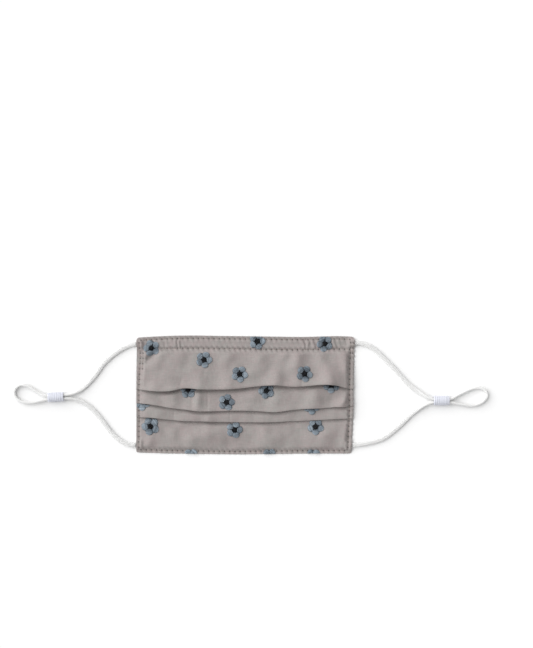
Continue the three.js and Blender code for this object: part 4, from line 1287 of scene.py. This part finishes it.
def satin_petal(work, middle, turn, strip, size, rng):
    """One petal: threads across it, wide in its middle and narrow at the heart."""
    across = np.linspace(-1, 1, THREAD_POINTS)
    tip = FLOWER_WIDTH / 2 * size
    slant = rng.uniform(-0.18, 0.18)
    puff = rng.uniform(0.85, 1.15)
    shade = rng.normal(0, 0.12)
    for number in range(PETAL_THREADS):
        share = (number + 0.5) / PETAL_THREADS
        radius = blend(PETAL_START * size, tip - 0.15, share)
        from_widest = radius - PETAL_MIDDLE * size
        reach = tip - PETAL_MIDDLE * size if from_widest > 0 else PETAL_TAPER * size
        half = PETAL_HALF_WIDTH * size * math.sqrt(max(1 - (from_widest / reach) ** 2, 0.02))
        half = min(half, radius * math.tan(math.pi / PETALS) * 1.12) + rng.uniform(-0.2, 0.2)
        crown = PETAL_HEIGHT * puff * math.sqrt(max(1 - ((share - 0.5) / 0.56) ** 2, 0.05))
        bow = 0.30 * size * (1 - across ** 2) * (share - 0.2)
        lift = crown * np.maximum(1 - np.abs(across) ** 3, 0) ** 0.6
        # Painted shade: each petal's threads are painted darker towards the heart and lighter towards
        # the tip, with a random shift for each petal and thread.
        tone = np.clip(0.25 + 0.45 * share + shade + rng.normal(0, 0.2), 0, 1)
        lay_thread(work, middle, turn, strip, radius + bow + slant * half * across,
                   half * across, 0.1 + lift, tone)


def embroidered_heart(work, middle, strip, rng):
    """The dark middle: a short satin patch and a few stitches between the petals."""
    turn = rng.uniform(0, math.pi)
    across = np.linspace(-1, 1, THREAD_POINTS)
    for number in range(HEART_THREADS):
        offset = blend(-1, 1, (number + 0.5) / HEART_THREADS) * HEART_RADIUS
        half = math.sqrt(max(HEART_RADIUS ** 2 - offset ** 2, 0.3)) + rng.uniform(-0.3, 0.8)
        crown = HEART_HEIGHT * max(1 - (offset / HEART_RADIUS / 1.3) ** 2, 0.1)
        lift = crown * (1 - across ** 4) ** 0.6
        lay_thread(work, middle, turn, strip, half * across, offset + 0 * across,
                   0.35 + lift, rng.uniform(0, 1))


def heart_spikes(work, middle, first_petal, strip, rng):
    """Dark stitches that run from the heart out between the petals."""
    for petal in range(PETALS):
        if rng.uniform() < BARE_GAPS:
            continue
        turn = first_petal + (petal + 0.5) * 2 * math.pi / PETALS + rng.uniform(-0.15, 0.15)
        reach = rng.uniform(*SPIKE_REACH)
        along = np.linspace(0.6, reach, THREAD_POINTS)
        lift = HEART_HEIGHT * np.sin(np.linspace(0.45, 1, THREAD_POINTS) * math.pi) ** 0.5
        for beside in SPIKE_STITCHES:
            lay_thread(work, middle, turn, strip, along, beside * (1.2 - along / reach),
                       0.3 + lift, rng.uniform(0, 1))


for number, (across, up, strip, turn, size, shows_heart) in enumerate(FLOWERS, start=1):
    rng = np.random.default_rng(number)
    middle = np.array([across * PANEL_WIDTH, up * PANEL_HEIGHT])
    first_petal = math.radians(turn)
    petals = ThreadWork()
    for petal in range(PETALS):
        direction = first_petal + petal * 2 * math.pi / PETALS
        satin_petal(petals, middle, direction, strip, size, rng)
    seat(petals.make(f"satin_petals_{number:02d}", petal_rayon), "petal_thread",
         f"flower_petals_{number:02d}")
    if shows_heart:
        heart = ThreadWork()
        embroidered_heart(heart, middle, strip, rng)
        heart_spikes(heart, middle, first_petal, strip, rng)
        seat(heart.make(f"satin_heart_{number:02d}", heart_rayon), "heart_thread",
             f"flower_heart_{number:02d}")
print("flowers:", len(FLOWERS))

# %% [markdown]
# ## Table and light
#
# The photograph was taken on white paper under a large soft light from the left and a little
# from the top, which shades the right side of every cord and wrinkle. A broad sun gives the same
# light over the whole table, and a white sky fills the shadows. The plain colour transform keeps
# white paper white.

# %% White table
TABLE_SIZE = 3000.0
TABLE_DROP = 0.02                  # keeps the table from flickering through the mask's underside
PAPER_CLOUD = 1.5                  # millimetres across the clouds of its fibres

table_paper, shader = new_material("matt_white_paper", roughness=0.9, ior=1.45)
place = add_node(table_paper, "ShaderNodeTexCoord")
fibres = add_node(table_paper, "ShaderNodeTexNoise", inputs={
    "Vector": place.outputs["Object"], "Scale": 1 / (PAPER_CLOUD * MM), "Detail": 3.0})
tint = add_node(table_paper, "ShaderNodeMix", {"data_type": "RGBA"},
                {0: fibres.outputs[0], 6: linear("#f4f4f4"), 7: linear("#f7f7f7")})
finish_material(table_paper, shader, tint.outputs[2])

corners = np.array([(-1, -1, 0), (1, -1, 0), (1, 1, 0), (-1, 1, 0)]) * TABLE_SIZE / 2
table = make_piece("white_table", corners, [[0, 1, 2, 3]], table_paper)
table.location.z = -TABLE_DROP * MM
table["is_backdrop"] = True

# %% Broad light from the left
SUN_FROM = np.array([-0.84, 0.46, 0.85])
SUN_STRENGTH = 3.2
SUN_BREADTH = 75                   # degrees
SKY_STRENGTH = 0.44
sun_data = bpy.data.lights.new("broad_window", "SUN")
sun_data.energy = SUN_STRENGTH
sun_data.angle = math.radians(SUN_BREADTH)
sun = bpy.data.objects.new("broad_window", sun_data)
direction = SUN_FROM / np.linalg.norm(SUN_FROM)
sun.rotation_euler = (math.acos(direction[2]), 0, math.atan2(direction[1], direction[0]) + math.pi / 2)
bpy.context.scene.collection.objects.link(sun)

world = bpy.data.worlds.new("white_room")
world.use_nodes = True
world.node_tree.nodes["Background"].inputs["Color"].default_value = linear("#ffffff")
world.node_tree.nodes["Background"].inputs["Strength"].default_value = SKY_STRENGTH
bpy.context.scene.world = world
bpy.context.scene.view_settings.view_transform = "Standard"
print("sun from", direction.round(2))

# %% The dressed model's size, for comparison with the CAD model's
dressed_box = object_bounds()
for title, box in (("CAD", cad_box), ("dressed", dressed_box)):
    print(title, [[round(value / MM, 2) for value in corner] for corner in box])
